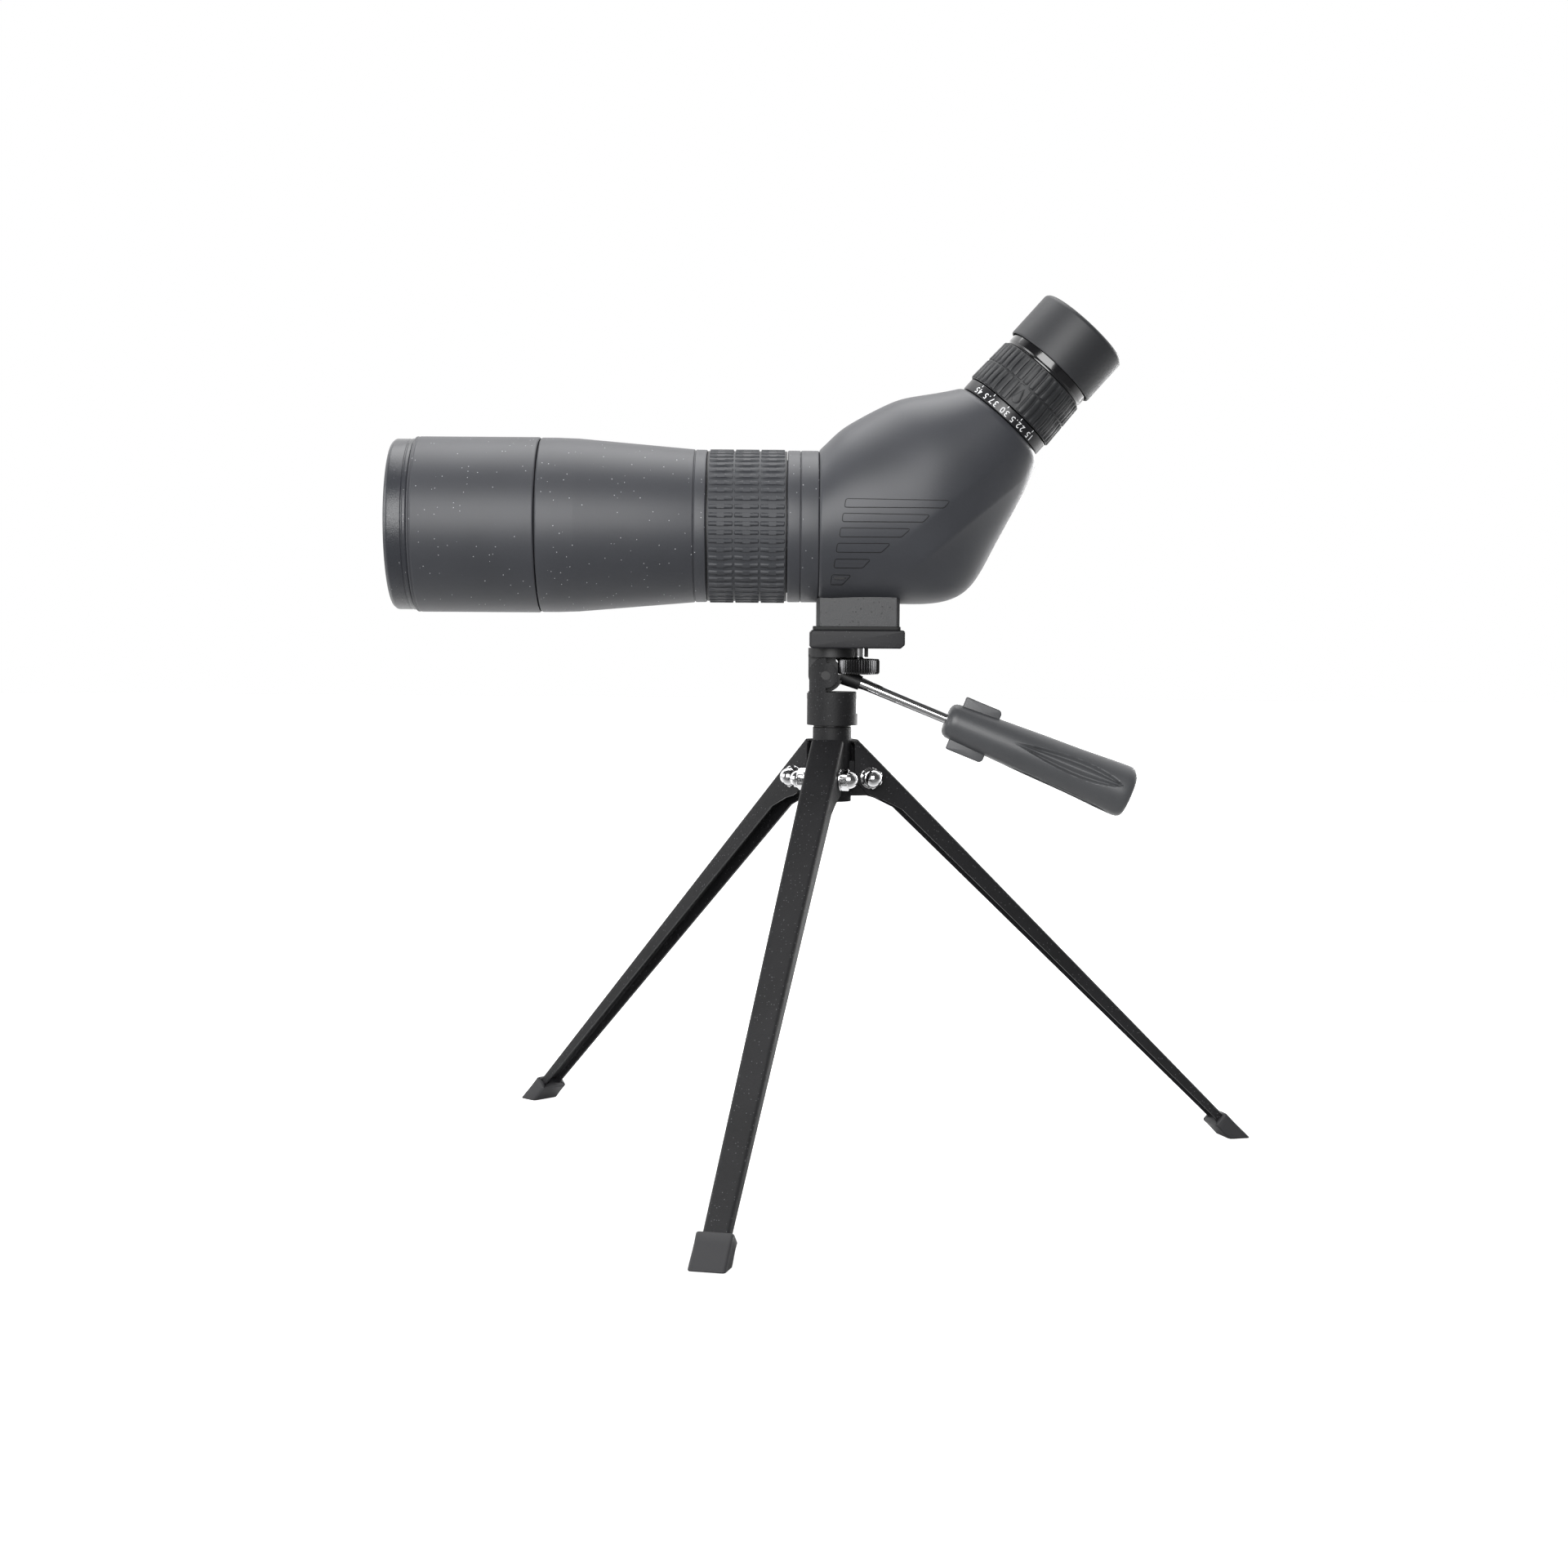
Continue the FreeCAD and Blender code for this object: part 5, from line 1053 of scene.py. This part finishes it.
knob_profile = np.array([(208.9, 0.0), (208.9, 8.2), (209.15, 8.6), (209.6, 8.85), (209.9, 8.9),
                         (212.2, 8.9), (214.6, 8.9), (214.9, 8.85), (215.3, 8.6), (215.5, 8.2),
                         (215.5, 7.0), (215.3, 6.8), (215.3, 0.0)])
build("knurled_knob", [(put(lathe(knob_profile, round_angles(TEETH * 10), knurl), KNOB_AXIS),
                        True, True)], "screw", "knob_black", "screw_knob", crease=60.0)
turned_piece("camera_screw_shank", [
    (215.32, 0.0), (215.32, 2.25), (221.8, 2.25), (222.0, 3.1), (235.0, 3.1), (235.5, 2.6),
    (235.5, 0.0)], 0.1, KNOB_AXIS, "screw", "bright_chrome", "camera_screw",
    angles=round_angles(48))

# %% [markdown]
# ## Handle grip
# The moulded grip swells towards its end. Four almond flutes give the fingers a hold. Across a
# flute the depth follows q^2 (1 - q^2) with a little of 1 - q^2, where q runs from -1 to 1
# between its edges, which leaves a soft ridge along its middle. Two flat wings near the front
# stop the hand from slipping forwards.

# %% Grip and wings
FLUTES, FLUTE_START, FLUTE_END = 4, 82.0, 131.5
FLUTE_DEPTH, FLUTE_SPREAD, FLUTE_TURN = 2.2, 22.0, 12.0
GRIP_FRONT, GRIP_LENGTH, FRONT_RADIUS, END_RADIUS = 54.0, 79.0, 7.65, 11.2


def flute(along, angle, radius):
    """Depth of the flutes at a place on the grip's skin: (1 - q^2)(0.35 + 2.2 q^2), where the
    flute's half width swells and narrows along the grip as a bent sine."""
    share = np.clip((along - FLUTE_START) / (FLUTE_END - FLUTE_START), 0.0, 1.0)
    half = np.radians(FLUTE_SPREAD) * np.sin(math.pi * share ** 1.3) ** 0.7 + 1e-6
    pitch = 2 * math.pi / FLUTES
    q = np.abs((angle + math.radians(FLUTE_TURN) + pitch / 2) % pitch - pitch / 2) / half
    inside = np.clip(1 - q * q, 0.0, None)
    depth = FLUTE_DEPTH * inside * (0.35 + 2.2 * q * q) * smooth_step(share, 0.0, 0.25)
    return -np.where(radius > 7.0, depth, 0.0) * (share > 0) * (share < 1)


body_rows = np.linspace(56.0, 132.0, 90)
body_radius = FRONT_RADIUS + (END_RADIUS - FRONT_RADIUS) * ((body_rows - GRIP_FRONT) / GRIP_LENGTH)
grip_profile = np.concatenate([
    [(75.0, 0.0), (75.0, 2.62), (52.6, 2.62), (52.4, 2.9), (52.4, 4.9), (52.75, 5.9),
     (53.5, 6.9), (54.6, 7.5)],
    np.stack([body_rows, body_radius], axis=-1),
    [(133.6, 11.15), (135.2, 10.95), (136.3, 10.4), (136.9, 9.6), (137.0, 8.9), (136.4, 8.3),
     (136.4, 0.0)]])
grip_skin = lathe(grip_profile, round_angles(256), flute)
wings = []
for direction in (-1, 1):
    wing = soften([(57.0, 5.0), (73.6, 5.0), (73.6, 10.9), (72.4, 12.0), (57.0, 12.0)], 0.9, 4)
    wing_grid = slab(wing * [1.0, direction], -1.75, 1.75, 0.5)[..., SIDE_VIEW]
    wings.append((put(wing_grid, HANDLE), False, True))
build("handle_grip_body", [(put(grip_skin, HANDLE), True, True), *wings], "handle",
      "handle_plastic", "handle_grip", crease=45.0)

# %% [markdown]
# ## Legs of folded sheet
# Each leg is a strip folded into a channel. The fold lines are rounds, and the side walls get
# shallower below the hinge. The section is a U whose outer and inner lines have the same number
# of points, so a ring of them is a closed wall. The section is carried down the leg while its
# half width and the depth of its walls change from station to station.

# %% Channel section
LEG_NAMES = ("right", "left", "front")
SPLAY, FIRST_AZIMUTH = 45.7, 16.15
WALL_EDGE = np.array([(-15.2, 5.6), (-7.5, -2.2), (-5.5, -4.9), (-3.0, -5.6), (4.0, -5.6),
                      (7.0, -4.7), (11.0, -2.6), (20.0, 0.4), (236.0, 4.4)])
SHEET, WEB, LEG_LENGTH, TOP_HALF, FOOT_HALF = 1.2, 8.1, 236.0, 6.9, 5.13
OUTER_FOLD, INNER_FOLD = 1.7, 0.5


def channel(station_x):
    """One U section: down one wall, round both folds of radius r and down the other, then back
    along the inside at one sheet thickness."""
    half = TOP_HALF - (TOP_HALF - FOOT_HALF) * np.clip(station_x / LEG_LENGTH, 0.0, 1.0)
    edge = np.interp(station_x, WALL_EDGE[:, 0], WALL_EDGE[:, 1])
    fold = np.linspace(0.0, math.pi / 2, 7)
    loops = []
    for inset, radius in ((0.0, OUTER_FOLD), (SHEET, INNER_FOLD)):
        wide, top = half - inset, WEB - inset
        low = min(edge, top - radius - 0.1)
        left = np.stack([-(wide - radius) - radius * np.cos(fold),
                         top - radius + radius * np.sin(fold)], axis=-1)
        line = np.concatenate([[(-wide, low), (-wide, (low + top - radius) / 2)], left])
        line = np.concatenate([line, [(0.0, top)], line[::-1] * [-1.0, 1.0]])
        loops.append(line)
    loop = np.concatenate([loops[0], loops[1][::-1]])
    return np.column_stack([np.full(len(loop), station_x), loop])


print("the section is a ring of", len(channel(0.0)), "points")

# %% [markdown]
# ## Three legs on their hinges
# The stations lie close together where the walls change and far apart below. At each end the
# section closes on the middle of the sheet's thickness. The three legs are the same strip, set
# on the three hinges of the CAD model.

# %% Legs
STATIONS_X = np.concatenate([[-15.2, -14.6, -12.0, -7.5, -5.5, -3.0, 4.0, 7.0, 11.0, 15.0],
                             np.linspace(20.0, LEG_LENGTH, 24)])
sections = np.stack([channel(x) for x in STATIONS_X])
count = sections.shape[1] // 2
closing = []
for end in (0, -1):
    middle = (sections[end, :count] + sections[end, count:][::-1]) / 2
    closing.append(np.concatenate([middle, middle[::-1]])[None])
strip = np.concatenate([closing[0], sections, closing[1]])

leg_azimuths, leg_seats = {}, {}
for number, name in enumerate(LEG_NAMES):
    leg_azimuths[name] = FIRST_AZIMUTH + 120.0 * number
    pivot = JOINTS[f"leg_{name}_fold"]["pos_m"]
    leg_seats[name] = seat(pivot, SPLAY - 90.0, leg_azimuths[name])
    build(f"channel_leg_{name}", [(put(strip, leg_seats[name]), False, True)], f"leg_{name}",
          "head_black", f"leg_{name}", crease=30.0)

# %% [markdown]
# ## Rubber feet
# A moulded cap is pushed over the end of each leg and cut level, so that its sole lies flat. The
# cap's rounded section runs down the leg, and every line of it ends where it meets the floor:
# x = (pivot height + z cos) / sin of the leg's slope.

# %% Feet
CAP_TOP = 228.0
CAP_RINGS = ((0.0, 3.0), (0.0, 0.7), (0.015, 0.2), (0.04, 0.0), (0.3, 0.12), (0.5, 0.1),
             (0.8, 0.0), (0.97, 0.0), (1.0, 0.35))
section = soften([(-7.3, 1.6), (7.3, 1.6), (7.3, 9.1), (-7.3, 9.1)], 1.7, 6)
for name in LEG_NAMES:
    origin, (ahead, side, up) = leg_seats[name]
    fall, climb, height = -ahead[2], up[2], origin[2] / MM
    rows = []
    for share, inset in CAP_RINGS:
        ring = drawn_in(section, inset)
        floor_x = (height + climb * ring[:, 1]) / fall
        rows.append(np.column_stack([CAP_TOP + share * (floor_x - CAP_TOP), ring]))
    ends = [np.tile(row.mean(axis=0), (len(section), 1)) for row in (rows[0], rows[-1])]
    cap = np.stack([ends[0], *rows, ends[1]])
    build(f"rubber_foot_{name}", [(put(cap, leg_seats[name]), False, True)], f"leg_{name}",
          "foot_rubber", f"foot_{name}", crease=40.0)

# %% [markdown]
# ## Domed nuts and washers
# A domed nut is a hexagon with its corners turned down and a hemisphere on top. As a radius
# about its axis, the hexagon is a / cos(angle to the nearest flat), and a cone cuts its corners
# at both ends. The six nuts and their washers are each one object, as they are in the CAD.

# %% Nuts and washers
APOTHEM, NUT_HEIGHT, DOME = 4.0, 3.4, 3.62
HUB_HALF, WASHER_STEP = 7.0, 0.62
NUT_RINGS = ((0.0, 4.1), (0.3, 4.62), (0.3, 9.0), (2.9, 9.0), (3.15, 4.35), (NUT_HEIGHT, 3.95),
             (NUT_HEIGHT, DOME))


def nut_grid(angles):
    """Rows of a domed nut: (axial, limit) pairs clip the hexagon, then the dome closes it."""
    hexagon = APOTHEM / np.cos((angles + math.pi / 6) % (math.pi / 3) - math.pi / 6)
    rows = [np.full(len(angles), 0.0)]
    places = [0.0]
    for along, limit in NUT_RINGS:
        rows.append(np.minimum(hexagon, limit))
        places.append(along)
    for angle in np.linspace(0.0, math.pi / 2, 12)[1:]:
        rows.append(np.full(len(angles), DOME * math.cos(angle)))
        places.append(NUT_HEIGHT + DOME * math.sin(angle))
    return about_axis(np.array(places)[:, None], np.stack(rows), angles)


nut = nut_grid(round_angles(96)) + [HUB_HALF, 0.0, 0.0] + [WASHER_STEP, 0.0, 0.0]
washer = lathe(soften([(0.0, 2.6), (0.6, 2.6), (0.6, 4.6), (0.0, 4.6)], 0.15), round_angles(64))
washer = washer + [HUB_HALF, 0.0, 0.0]
nuts, washers = [], []
for name in LEG_NAMES:
    for side in (-90.0, 90.0):
        bolt = seat(leg_seats[name][0], 0.0, leg_azimuths[name] + side)
        washers.append((put(washer, bolt), True, True))
        nuts.append((put(nut, bolt), False, True))
build("domed_nuts", nuts, "tripod_hub", "bright_chrome", "cap_nuts", crease=25.0)
build("nut_washers", washers, "tripod_hub", "bright_chrome", "pivot_washers")
